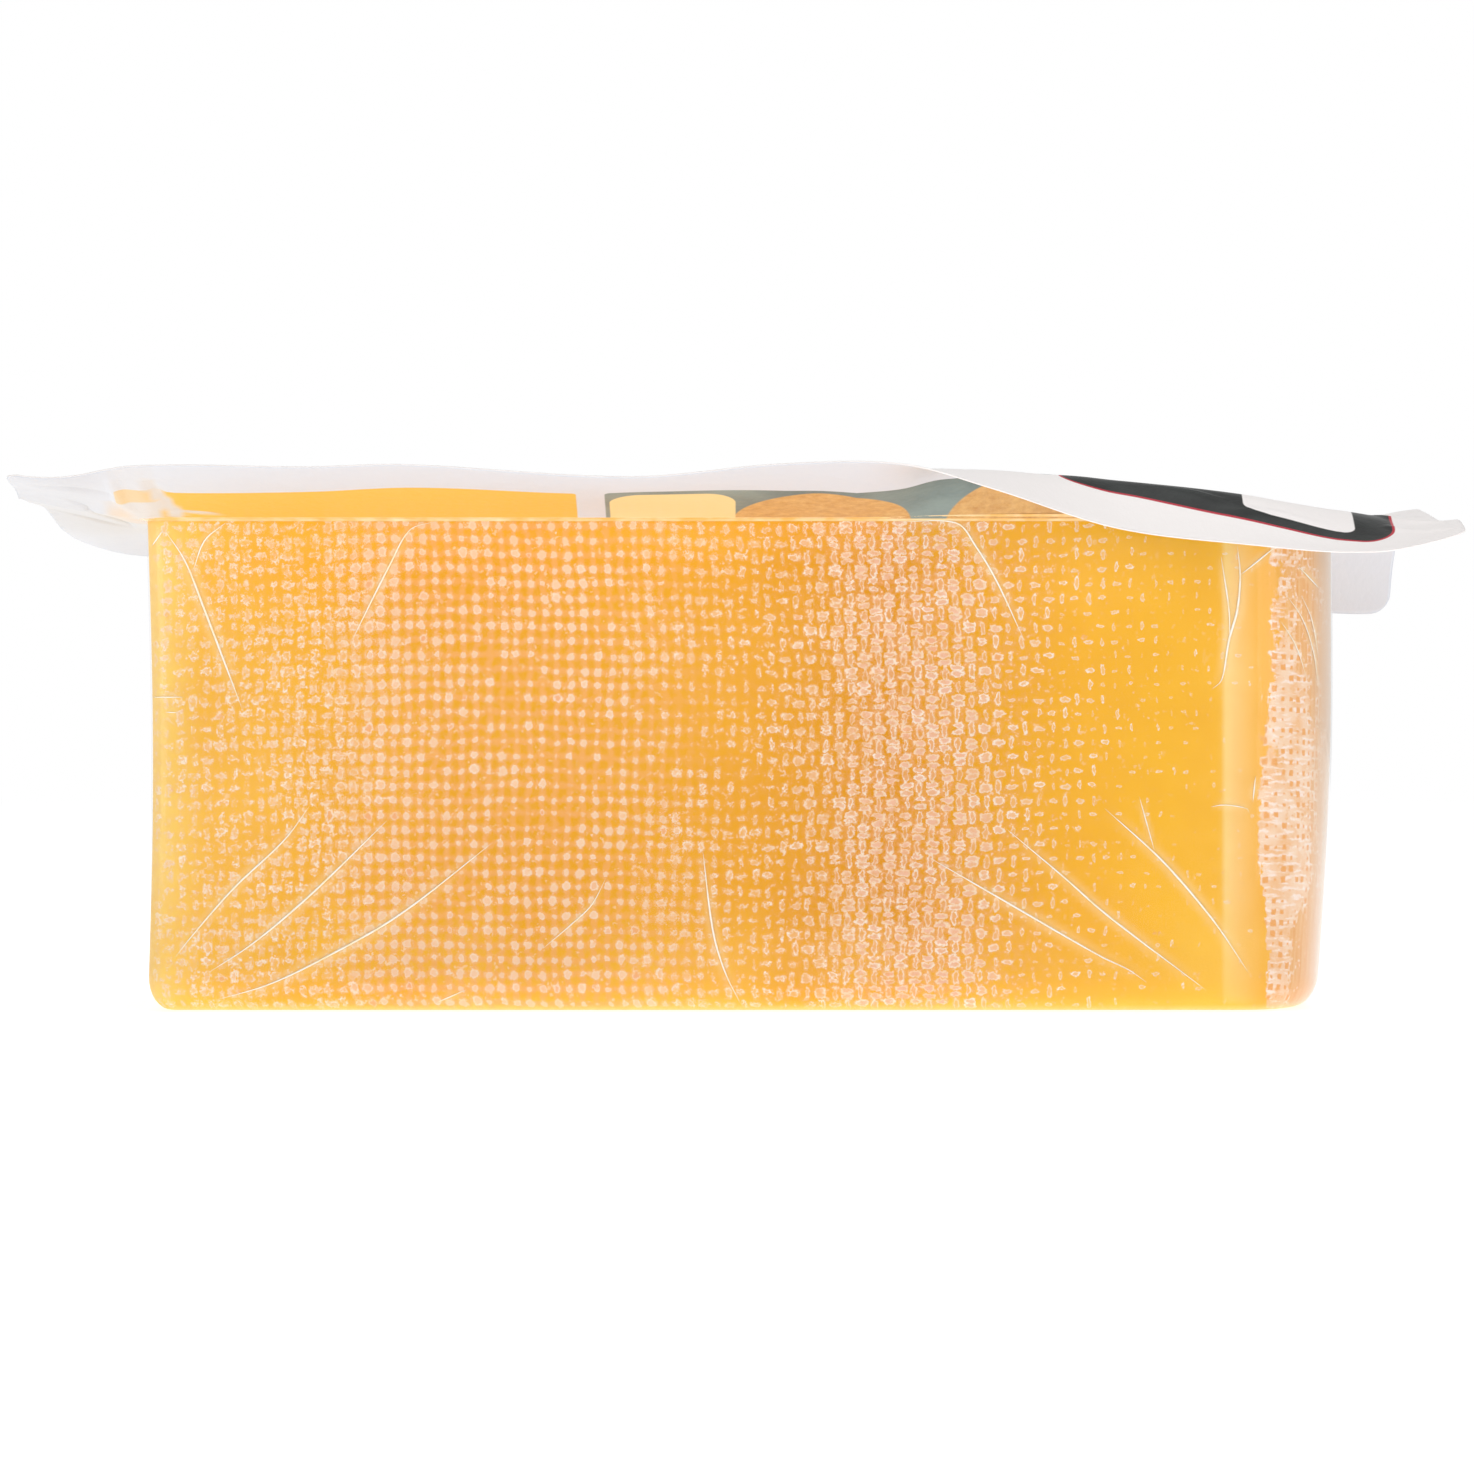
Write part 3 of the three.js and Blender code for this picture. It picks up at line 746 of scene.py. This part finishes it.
def printed_film(name, white, veil):
    """White flexible film, gravure printed on top and sealed to the clear film below.

    From below the print shows through the clear film, paler by veil. That film's folds hide more of it."""
    material, tree = new_material(name)
    flat = add(tree, "UVMap", uv_map="flat_film")

    # The picture field: a slate ground with plain wheels of cheese and pale pieces cut from them. It meets
    # the panel in a wave.
    folds = add(tree, "VertexColor", layer_name="folds")
    wave = add(tree, "CombineXYZ", [folds.outputs["Alpha"]])
    waved = add(tree, "VectorMath", [flat, wave], operation="SUBTRACT")
    in_picture = inside_field(tree, waved, (11.2, 0.0), (28.8, 48.0), 0.8)
    ground_noise = add(tree, "TexNoise", {"Vector": flat, "Scale": 0.07, "Detail": 2.0})
    ground = add(tree, "ValToRGB", [ground_noise], ramp_stops=[(0.35, "#5F706C"), (0.65, "#86968F")])
    crust_noise = add(tree, "TexNoise", {"Vector": flat, "Scale": 0.6, "Detail": 4.0, "Roughness": 0.7})
    crust = add(tree, "ValToRGB", [crust_noise], ramp_stops=[(0.3, DARK_CRUST), (0.7, "#E6B565")])
    upper = add(tree, "ValToRGB", [crust_noise], ramp_stops=[(0.3, "#DDA24C"), (0.7, "#EFC67C")])
    drawing = ground
    wheels = [
        ((33.0, 35.0), (10.0, 8.5)), ((4.0, 17.0), (19.0, 16.0)), ((11.5, -33.5), (12.0, 13.6)),
        ((40.5, -31.0), (13.0, 15.4)),
    ]
    for (x, y), (half_x, half_y) in wheels:
        body = inside_oval(tree, flat, (x, y), (half_x, half_y))
        top = inside_oval(tree, flat, (x, y + 0.45 * half_y), (0.9 * half_x, 0.5 * half_y))
        drawing = add(tree, "Mix", [body, drawing, crust], data_type="RGBA")
        drawing = add(tree, "Mix", [top, drawing, upper], data_type="RGBA")
    # A slice is missing from the large wheel and lies beside it, its rind towards the reader.
    pieces = [
        ([(4.0, 24.2), (-8.4, 18.4), (5.6, 16.4)], PALE_PASTE),
        ([(-8.4, 18.4), (-8.4, 10.6), (5.6, 8.2)], SHADED_PASTE),
        ([(-8.4, 18.4), (5.6, 8.2), (5.6, 16.4)], SHADED_PASTE),
        ([(16.0, -12.6), (36.6, -9.6), (27.6, 7.0)], DARK_CRUST),
        ([(17.4, -9.6), (34.8, -7.2), (27.4, 5.4)], PALE_PASTE),
        ([(-14.0, 39.0), (-4.4, 38.0), (-8.0, 45.6)], PALE_PASTE),
    ]
    for corners, tint in pieces:
        piece = inside_triangle(tree, flat, corners)
        drawing = add(tree, "Mix", [piece, drawing, tint], data_type="RGBA")
    wedge = inside_field(tree, flat, (-8.6, -38.0), (8.4, 8.6), 4.0)
    drawing = add(tree, "Mix", [wedge, drawing, PALE_PASTE], data_type="RGBA")
    face = add(tree, "Mix", [in_picture, white, drawing], data_type="RGBA")

    # A yellow band along each long edge.
    for side in (-1, 1):
        band = inside_field(tree, flat, (-52.2, 33.4 * side), (30.8, 14.6), 0.6)
        face = add(tree, "Mix", [band, face, "#F2BE2C"], data_type="RGBA")

    # The charcoal panel with its thin red outline, and a plain white field on it.
    outlined = inside_field(tree, waved, (64.1, -4.0), (24.3, 44.4), 5.4)
    panel = inside_field(tree, waved, (64.1, -4.0), (23.9, 44.0), 5.0)
    charcoal = add(tree, "TexNoise", {"Vector": flat, "Scale": 0.15, "Detail": 3.0})
    charcoal = add(tree, "ValToRGB", [charcoal], ramp_stops=[(0.3, "#121413"), (0.7, "#232826")])
    label = inside_field(tree, flat, (74.9, -36.0), (7.4, 10.0), 1.8)
    for share, tint in [(outlined, "#C2263A"), (panel, charcoal), (label, white)]:
        face = add(tree, "Mix", [share, face, tint], data_type="RGBA")

    fibre = add(tree, "TexNoise", {"Vector": flat, "Scale": 1.1, "Detail": 3.0, "Roughness": 0.6})
    veil_share = add(tree, "MapRange", [fibre, 0.3, 0.7, veil * 0.8, veil * 1.2])
    face = add(tree, "Mix", [veil_share, face, white], data_type="RGBA")
    if veil:
        hidden, peach, shaded = add(tree, "SeparateColor", [folds]).outputs
        for share, tint in [(hidden, "#DCDADA"), (peach, "#EFCFA4"), (shaded, "#A9A19C")]:
            face = add(tree, "Mix", [share, face, tint], data_type="RGBA")

    bump_noise = add(tree, "TexNoise", {"Vector": flat, "Scale": 0.35, "Detail": 4.0, "Roughness": 0.6})
    bump = add(tree, "Bump", {"Strength": 0.3, "Distance": 0.0004, "Height": bump_noise})
    sockets = {"Base Color": face, "Roughness": 0.32, "Specular IOR Level": 0.1, "Normal": bump}
    ink = add(tree, "BsdfPrincipled", sockets)
    add(tree, "OutputMaterial", {"Surface": ink})
    return material


# ======== the pieces ========

# How the cloth lay on the near face. Shares along the block, from the cut end to the rim.
CLOTH_PRESSURE = [
    (-80, 0.45), (-72, 0.7), (-60, 0.8), (-52, 0.95), (-45, 0.85), (-35, 0.7), (-24, 0.7), (-10, 0.67),
    (0, 0.7), (8, 0.8), (15, 0.95), (25, 1.0), (33, 0.95), (38, 0.78), (46, 0.5), (53, 0.22), (60, 0.1),
    (66, 0.05),
]
CLOTH_FLATNESS = [(-80, 0.15), (-56, 0.15), (-49, 0.8), (-44, 1), (-20, 1), (-10, 0.75), (-4, 0.35), (5, 0)]
MARK_SIZE = [
    (-78, 1.1), (-60, 1.1), (-45, 0.95), (-14, 0.9), (-4, 0.85), (8, 0.9), (20, 1.1), (30, 1.1), (37, 0.95),
    (46, 0.95), (60, 0.75),
]
BLUSH = [
    (-60, 0.3), (-45, 0.35), (-20, 0.2), (0, 0.25), (12, 0.5), (18, 0.9), (28, 1), (36, 0.6), (44, 0.15),
    (60, 0),
]
RAGGEDNESS = [(-80, 1.15), (-58, 1.1), (-48, 0.65), (-18, 0.55), (-8, 0.85), (10, 0.8), (30, 0.65), (50, 0.5)]
SPLIT = [(6, 0), (14, 0.2), (19, 0.27), (28, 0.27), (34, 0.1), (36, 0)]
# How far round the rim the bloom begins, by height.
BLOOM_BEGINS = [(5, 4.6), (11, 4.5), (20, 3.5), (26, 3.1), (34, 3.9), (45, 5.3), (52, 4.9), (63, 4.6)]
# Places where the cloth pressed more or less than that: middle, half sizes and how much.
PRESSURE_SPOTS = [
    ((-30, 45), (9, 10), -0.12), ((-22, 36), (10, 10), -0.22), ((-40, 24), (9, 5), -0.15),
    ((-68, 14), (8, 9), 0.12), ((-5, 40), (9, 14), -0.12), ((15.2, 13), (14, 8), 0.25),
    ((1.7, 62.4), (3.5, 2.5), 0.8), ((-52, 55), (8, 7), 0.15), ((30, 62), (9, 4), -0.25),
    ((42, 14), (12, 10), -0.15),
]


def value_noise(across, up, seed):
    """Smooth chance from -1 to 1 that changes over about one unit."""
    table = np.random.default_rng(seed).uniform(-1, 1, (64, 64))
    i, j = np.floor(across).astype(int), np.floor(up).astype(int)
    f, g = smooth(across - i, 0, 1), smooth(up - j, 0, 1)
    low = table[j % 64, i % 64] * (1 - f) + table[j % 64, (i + 1) % 64] * f
    high = table[(j + 1) % 64, i % 64] * (1 - f) + table[(j + 1) % 64, (i + 1) % 64] * f
    return low * (1 - g) + high * g


def cloth_lay(along, z):
    """Pressure, flatness, size, blush, raggedness and split of the cloth's marks round the block.

    The far face has the near one's zones the other way round, and a little wider."""
    x = np.where(along > NEAR_SIDE_ENDS, 8 - 0.85 * (245 - along), along)
    pressure = ramp(x, CLOTH_PRESSURE)
    for (middle_x, middle_z), (half_x, half_z), more in PRESSURE_SPOTS:
        away = ((x - middle_x) / half_x) ** 2 + ((z - middle_z) / half_z) ** 2
        pressure = pressure + more * np.exp(-away)
    pressure = pressure + 0.14 * value_noise(along / 8, z / 8, 5) + 0.1 * value_noise(along / 3.4, z / 3.4, 6)
    others = [ramp(x, shares) for shares in (CLOTH_FLATNESS, MARK_SIZE, BLUSH, RAGGEDNESS, SPLIT)]
    return pressure, *others


# Creases of the film on the near side: places from the block's middle as (x, height), and width.
CREASES = [
    ([(-77.1, 65.0), (-74.3, 60.8), (-71.6, 54.1), (-66.5, 40.7)], 0.75),
    ([(-77.1, 65.0), (-78.8, 62.7)], 0.5),
    ([(-68.6, 66.0), (-71.6, 63.5), (-73.1, 59.6)], 0.55),
    ([(-40.8, 66.0), (-44.0, 64.9), (-46.7, 60.2), (-51.8, 50.0)], 0.6),
    ([(-57.4, 27.9), (-60.9, 23.2), (-67.7, 16.7), (-73.3, 10.3), (-75.9, 7.0)], 0.65),
    ([(-47.0, 25.9), (-57.4, 15.8), (-65.1, 9.3), (-71.3, 5.2)], 0.7),
    ([(-32.8, 22.9), (-45.6, 13.0), (-56.1, 7.0), (-63.1, 3.7), (-70.2, 1.6)], 0.75),
    ([(-4.6, 21.7), (-3.2, 10.8), (-1.6, 5.4), (0.5, 1.1)], 0.65),
    ([(-17.6, 18.1), (-19.6, 14.4), (-22.2, 11.9), (-26.2, 8.5)], 0.4),
    ([(-36.5, 3.0), (-40.6, 1.2)], 0.4),
    ([(21.9, 66.0), (29.6, 65.8), (32.2, 62.6), (34.8, 58.3), (38.6, 50.2)], 0.65),
    ([(25.7, 20.9), (31.1, 17.8), (35.1, 15.5), (48.8, 7.6), (52.7, 5.7), (55.3, 3.9)], 0.7),
    ([(36.1, 24.8), (44.3, 17.9), (48.8, 13.9), (53.9, 9.9), (59.1, 6.0), (63.2, 2.9)], 0.7),
    ([(49.4, 27.5), (56.2, 21.4), (59.6, 17.8), (63.2, 13.5), (65.5, 10.4), (68.9, 5.2)], 0.75),
    ([(54.1, 29.1), (56.2, 21.6)], 0.4),
    ([(67.3, 62.9), (67.7, 58.8), (67.3, 54.1), (66.2, 50.1), (65.2, 44.7), (63.8, 43.4)], 0.8),
    ([(72.8, 62.9), (67.7, 58.8)], 0.55),
    ([(65.1, 61.5), (66.2, 54.1), (66.3, 50.1)], 0.5),
    ([(75.7, 60.2), (79.1, 57.2)], 0.45),
    ([(74.0, 56.3), (76.5, 52.9), (78.2, 48.4), (79.0, 43.6)], 0.3),
    ([(76.2, 56.3), (77.9, 52.9), (79.0, 47.8)], 0.26),
    ([(73.1, 52.9), (75.4, 49.5), (77.1, 45.0)], 0.28),
    ([(63.6, 27.6), (65.5, 27.9), (68.6, 27.4), (69.0, 26.7)], 0.4),
    ([(69.8, 31.9), (69.4, 28.2)], 0.45),
    ([(-79.0, 42.4), (-74.3, 42.4)], 0.4),
    ([(-76.9, 40.4), (-75.2, 40.3)], 0.35),
]


def crease_line(points):
    """Places along a crease, about 0.6 mm apart, and how far along it each one is."""
    gone = run_length(points)
    at = np.linspace(0, gone[-1], max(int(gone[-1] / 0.6), 6))
    x, z = (through(list(zip(gone, places)))(at) for places in zip(*points))
    return x, z, at / gone[-1]


def crease_painted_sheen(x, z, near_side):
    """How pale the cheese looks beside the film's creases, where the film has lifted off it: a painted sheen.
    """
    painted_sheen = np.zeros_like(x)
    for points, width in CREASES:
        line_x, line_z, share = crease_line(points)
        reach = 2.0 * width
        close = (x > line_x.min() - reach) & (x < line_x.max() + reach)
        close &= (z > line_z.min() - reach) & (z < line_z.max() + reach) & near_side
        away = np.hypot(x[close][:, None] - line_x, z[close][:, None] - line_z)
        nearest = away.argmin(axis=1)
        strength = 0.42 * np.sin(np.pi * share[nearest]) * (1 - smooth(away.min(axis=1), 0.1, reach))
        painted_sheen[close] = np.maximum(painted_sheen[close], strength)
    return painted_sheen


def rim_bloom(x, z, along):
    """Shares of the rim's pale bloom, which goes furthest round half way up, and of the streaks under it."""
    past_face = x - FACE_END_X
    low_down = 1 - smooth(z, 10, 17)
    high_up = smooth(z, 42, 54)
    fades_at = 10.5 - 3.0 * low_down - 1.5 * high_up
    drift = 0.16 * value_noise(along / 6, z / 9, 7) + 0.12 * value_noise(along / 2.2, z / 2.2, 8)
    fading = (0.62 + 0.35 * low_down) * smooth(past_face, fades_at - 1, fades_at + 1.5)
    bloom = (0.98 - 0.42 * high_up) * (1 - fading) + drift
    begins = ramp(z, BLOOM_BEGINS)
    bloom = np.clip(bloom, 0.05, 1) * smooth(past_face, begins - 0.6, begins + 0.8)
    return bloom, 0.95 * smooth(past_face, begins + 0.8, begins + 3.5)


def pits(across_threads, up_threads, pressure, flatness, size):
    """How deep the cloth pressed in at each place. The pits lie where the material draws the marks."""
    spot_x = across_threads - np.floor(across_threads) - 0.5
    spot_z = up_threads - np.floor(up_threads) - 0.5
    turn = np.mod(np.floor(across_threads) + np.floor(up_threads), 2)
    half_x = 0.175 + turn * 0.245
    half_z = 0.46 - turn * 0.275
    half_x = (half_x + (0.35 - half_x) * flatness) * size
    half_z = (half_z + (0.35 - half_z) * flatness) * size
    away = np.hypot(spot_x / half_x, spot_z / half_z)
    return MARK_DEPTH * np.clip(pressure, 0, 1) * (1 - smooth(away, 0.5, 1.4))


def make_cheese():
    steps = (16, 8, 326, 130)
    rise = (LID_Z - LID_THICKNESS / 2 - 0.05 - FILM_GAP) / BLOCK_HEIGHT  # the cheese reaches up to the lid
    shape = [(FILM_GAP + z * rise, inset + FILM_GAP) for z, inset in levels(8, 94, 4)]
    rings = np.array([outline(z, inset, steps) for z, inset in shape])
    x, y = rings[:, 0], rings[:, 1]
    z = np.repeat([[height] for height, _ in shape], x.shape[1], axis=1)

    # How far along the outline each column is, so that it equals x on the near face.
    middle = rings[len(shape) // 2]
    along = run_length(middle.T)
    first_face = steps[0] + steps[1]
    along = along - along[first_face] + middle[0, first_face]
    along = np.repeat([along], len(shape), axis=0)

    # The threads wander as they run. Cells are counted from beyond the cut end.
    wander_x = 0.3 * np.sin(z / 9 + along / 26) + 0.1 * np.sin(z / 3.7 + along / 7)
    wander_z = 0.3 * np.sin(along / 15 + 0.8) + 0.12 * np.sin(along / 5.3 + z / 9)
    across_threads = (along + wander_x) / THREAD_X + 100
    up_threads = (z + wander_z) / THREAD_Z + 20

    pressure, flatness, size, blush, raggedness, split = cloth_lay(along, z)
    # The cut end and the base are bare paste, and the rim has bloom instead of marks.
    rind = smooth(x, CUT_END_X + 0.2, CUT_END_X + 2.2) * smooth(z, 0.2, 0.9)
    pressure = pressure * (1 - smooth(x - FACE_END_X, 0, 3)) * rind
    bloom, peach = rim_bloom(x, z, along)
    # Painted glow: paler low down, where light comes in from below, and right under the lid, against its
    # shade.
    # Low down the paleness also varies at random.
    painted_glow_and_paleness = 0.75 * (1 - smooth(z, 0, 2.2)) + 0.4 * (1 - smooth(z, 1, 18)) + 0.2 * smooth(z, 60, 64)
    painted_glow_and_paleness = np.clip(painted_glow_and_paleness + 0.3 * value_noise(along / 9, z / 12, 9) * (1 - smooth(z, 0, 30)), 0, 1)

    pit = pits(across_threads, up_threads, pressure, flatness, size)
    normal_x = np.gradient(y, axis=1)
    normal_y = -np.gradient(x, axis=1)
    length = np.hypot(normal_x, normal_y)
    x = x - pit * normal_x / length
    y = y - pit * normal_y / length

    cheese, row, column = grid_piece("cheese", x, y, z)
    set_uv(cheese, "weave", across_threads, up_threads, row, column)
    painted_sheen = crease_painted_sheen(x, z, along < NEAR_SIDE_ENDS)
    paint(cheese, "cloth", (pressure, flatness, blush, painted_sheen), row, column)
    paint(cheese, "skin", (1 - rind, bloom, size / 2), row, column)
    paint(cheese, "run", (raggedness, split, painted_glow_and_paleness, peach), row, column)
    close_seam(cheese)
    cap(cheese, shape[0][0])
    cap(cheese, shape[-1][0])
    face_outwards(cheese)
    cheese.data.materials.append(pressed_rind())
    finish_piece(cheese, "cheese_block")


def crease(points, width):
    """A pinched ridge of film along a curve on the near side, thin at both ends."""
    x, z, share = crease_line(points)
    way_x, way_z = np.gradient(x), np.gradient(z)
    length = np.hypot(way_x, way_z)
    side_x, side_z = -way_z / length, way_x / length
    full = 0.8 * np.clip(np.sin(np.pi * share), 0, 1) ** 0.7
    # The section: its foot is just under the film's face, and its ridge leans to one side.
    section = [(-0.28, -0.08), (-0.14, 0.06), (0.02, 0.12), (0.16, 0.05), (0.25, -0.08), (-0.28, -0.08)]
    rows = []
    for across, out in section:
        px = x + side_x * across * width * full
        pz = z + side_z * across * width * full
        rows.append((px, front_y(px, pz) - out * width * full, pz))
    x, y, z = (np.array([row[i] for row in rows]) for i in range(3))
    piece, _, _ = grid_piece("crease", x, y, z)
    close_seam(piece)
    face_outwards(piece)
    return piece


def make_clear_film():
    steps = (14, 6, 74, 84)
    shape = levels(6, 30, 3)
    rings = [(*outline(z, inset, steps), z) for z, inset in shape]
    # Above the block the film turns out under the lid, is welded to it and closes.
    turned_out = [(out, WELD_FOOT_BELOW) for out in (0.2, 0.5, 0.9)]
    turned_out += [(out, WELD_TOP_BELOW) for out in (0.9, 0.5, 0.2, -0.5)]
    for out, below in turned_out:
        ring_x, ring_y = outline(BLOCK_HEIGHT, -out, steps)
        rings.append((ring_x, ring_y, sheet_point(ring_x, ring_y)[2] - below))
    x = np.array([ring[0] for ring in rings])
    y = np.array([ring[1] for ring in rings])
    z = np.array([np.broadcast_to(ring[2], ring[0].shape) for ring in rings])
    film, _, _ = grid_piece("clear_film", x, y, z)
    close_seam(film)
    cap(film, 0.0)
    cap(film, LID_Z - WELD_TOP_BELOW)
    face_outwards(film)
    film.data.materials.append(clinging_film())
    welded = milky_film("welded_film_edge", 300.0, [(0.35, "#F8C470"), (0.7, "#FFE6B8")])
    film.data.materials.append(welded)
    for polygon in film.data.polygons:
        if polygon.center.z > WELD_BEGINS * MM:
            polygon.material_index = 1
    ridges = [crease(points, width) for points, width in CREASES]
    # The creases' pale cream is whitening by strain and a painted highlight.
    pinched = milky_film("pinched_film_crease", 500.0, [(0.3, "#FFF0C8"), (0.55, "#FFFDF4")])
    for ridge in ridges:
        ridge.data.materials.append(pinched)
    select_only(*ridges, film)
    bpy.ops.object.join()
    finish_piece(film, "cheese_block")


# Small folds of the lid film's flange, on the flat sheet: places, width and height.
LID_FOLDS = [
    ([(-91.5, -40.5), (-88.1, -36.6), (-86.5, -20.0), (-85.7, 14.0)], 0.8, 0.5),
    ([(-95.0, -50.0), (-89.0, -48.6), (-83.0, -44.0)], 1.2, 0.3),
    ([(-97.5, 2.0), (-91.0, 8.0), (-86.0, 16.0)], 1.2, 0.4),
    ([(-78.5, -50.0), (-77.4, -44.0), (-75.6, -37.0)], 1.1, 0.5),
    ([(-76.0, -37.4), (-68.8, -35.6)], 0.7, 0.35),
    ([(-83.6, -52.0), (-82.7, -41.7), (-81.0, -36.0)], 0.9, -0.35),
    ([(55.0, -44.0), (61.0, -44.6), (67.0, -46.8)], 0.8, 0.22),
    ([(64.5, -48.5), (71.0, -46.6), (79.0, -47.4)], 0.9, 0.25),
    ([(86.0, -36.0), (91.0, -41.0), (97.0, -43.0)], 1.0, 0.45),
    ([(87.0, -44.0), (93.6, -48.5), (97.4, -49.5)], 0.9, 0.35),
    ([(88.0, -14.0), (94.0, -6.0), (98.0, -4.0)], 1.2, 0.5),
    ([(85.0, 4.0), (93.0, 10.0), (98.0, 12.0)], 1.4, -0.5),
]
# The print runs a little nearer or further from the near edge than it was drawn, as the film was stretched.
PRINT_SHIFT = [
    (-84, 0), (-74.6, 2.6), (-57.6, 1.8), (-40, 0.5), (-21.5, 0), (-11.6, -1.2), (5.7, 2.0), (11.7, 2.6),
    (28.5, 6.0), (32, 5.6), (39.7, 3.4), (46, 0.4), (54, -0.2), (63, -1.2), (72.6, -1.9), (80, -2.8),
    (88, -2.8),
]
print_shift = through(PRINT_SHIFT)


def beside(x, y, points):
    """How far beside a line of points each place is, less than none on one side of it, and how far along."""
    gone = run_length(points)
    at = np.linspace(0, gone[-1], 60)
    line_x, line_y = (np.interp(at, gone, places) for places in zip(*points))
    nearest = np.full(x.shape, np.inf)
    side, share = np.full(x.shape, 100.0), np.zeros(x.shape)
    way_x, way_y = np.gradient(line_x), np.gradient(line_y)
    for i in range(len(at)):
        away = np.hypot(x - line_x[i], y - line_y[i])
        closer = away < nearest
        nearest = np.where(closer, away, nearest)
        which = np.sign((x - line_x[i]) * way_y[i] - (y - line_y[i]) * way_x[i])
        side = np.where(closer, away * which, side)
        share = np.where(closer, at[i] / gone[-1], share)
    return side, share


def beside_fold(s, t, points, strength, near, far, shift=0.0):
    """A share that is strong up to near a fold, gone further off, and fades out towards the fold's ends."""
    side, share = beside(s, t, points)
    return strength * (1 - smooth(np.abs(side - shift), near, far)) * np.clip(np.sin(np.pi * share), 0, 1)


def lid_veil(s, t):
    """Where the clear film's folds under the near left corner hide the print, tint it peach, or shade it."""
    gap, _ = beside(s, t, [(-78.6, -50.0), (-77.0, -43.0), (-75.2, -36.0)])
    hidden = [
        0.9 * (1 - smooth(np.abs(gap), 0.7, 1.5)),
        0.4 * window(s, -84, -83, -78, -77) * (1 - smooth(t, -42.5, -41)),
        0.95 * window(s, -86, -84, -77.6, -76.4) * window(t, -42.4, -41.2, -20, -12),
        beside_fold(s, t, LID_FOLDS[4][0], 0.85, 0.2, 0.6),
    ]
    bulge = ((s + 83.2) / 3.2) ** 2 + ((t + 22) / 20) ** 2
    peach = 0.55 * (1 - smooth(bulge, 0.3, 1.2)) * (0.7 + 0.3 * value_noise(s / 1.4, t / 6, 12))
    shaded = [
        beside_fold(s, t, LID_FOLDS[0][0], 0.75, 0.1, 0.6, shift=0.3),
        beside_fold(s, t, LID_FOLDS[1][0], 0.2, 0.2, 1.6),
        0.16 * (1 - smooth(s, -90, -81)),
    ]
    return np.maximum.reduce(hidden), peach, np.maximum.reduce(shaded)


def sheet_lines(root, flange, steps):
    """Places of the flat sheet's lines: over one flange, over the block and over the other flange."""
    return np.concatenate([
        np.linspace(-root - flange, -root, steps[0], endpoint=False),
        np.linspace(-root, root, steps[1], endpoint=False),
        np.linspace(root, root + flange, steps[2]),
    ])


def make_lid():
    along = sheet_lines(ROOT_X, FLANGE_END, (56, 170, 41))
    across = sheet_lines(ROOT_Y, FLANGE_LONG, (60, 60, 31))
    s, t = rounded_corners(*np.meshgrid(along, across))
    x, y, z = sheet_point(s, t)
    for points, width, height in LID_FOLDS:
        side, share = beside(s, t, points)
        fades = np.clip(np.sin(np.pi * share), 0, 1) ** 0.6
        off = side / width
        z = z + height * fades * (1 + 0.8 * off) * np.exp(-(off**2))
    lid, row, column = grid_piece("printed_lid", x, y, z)
    print_t = t - print_shift(s) * smooth(-t, 30, 44)
    set_uv(lid, "flat_film", s, print_t, row, column)
    # How far the panel's edge beside the picture swings towards the right end, and then back.
    swing = 6.5 * window(t, -48, -39, -32, 0) - 4.5 * window(t, -16, 8, 18, 40)
    swing = swing * window(s, 28, 38, 52, 64)
    paint(lid, "folds", (*lid_veil(s, t), swing), row, column)
    lid.data.materials.append(printed_film("printed_film_top", "#FFFAF8", 0.0))
    # Seen from below the white is darker and bluer than on top: painted shade, as the underside lies in
    # shade.
    lid.data.materials.append(printed_film("printed_film_seen_from_below", "#DADEE6", 0.11))
    thicken(lid, LID_THICKNESS)
    finish_piece(lid, "lid_film")


studio()
make_cheese()
make_clear_film()
make_lid()
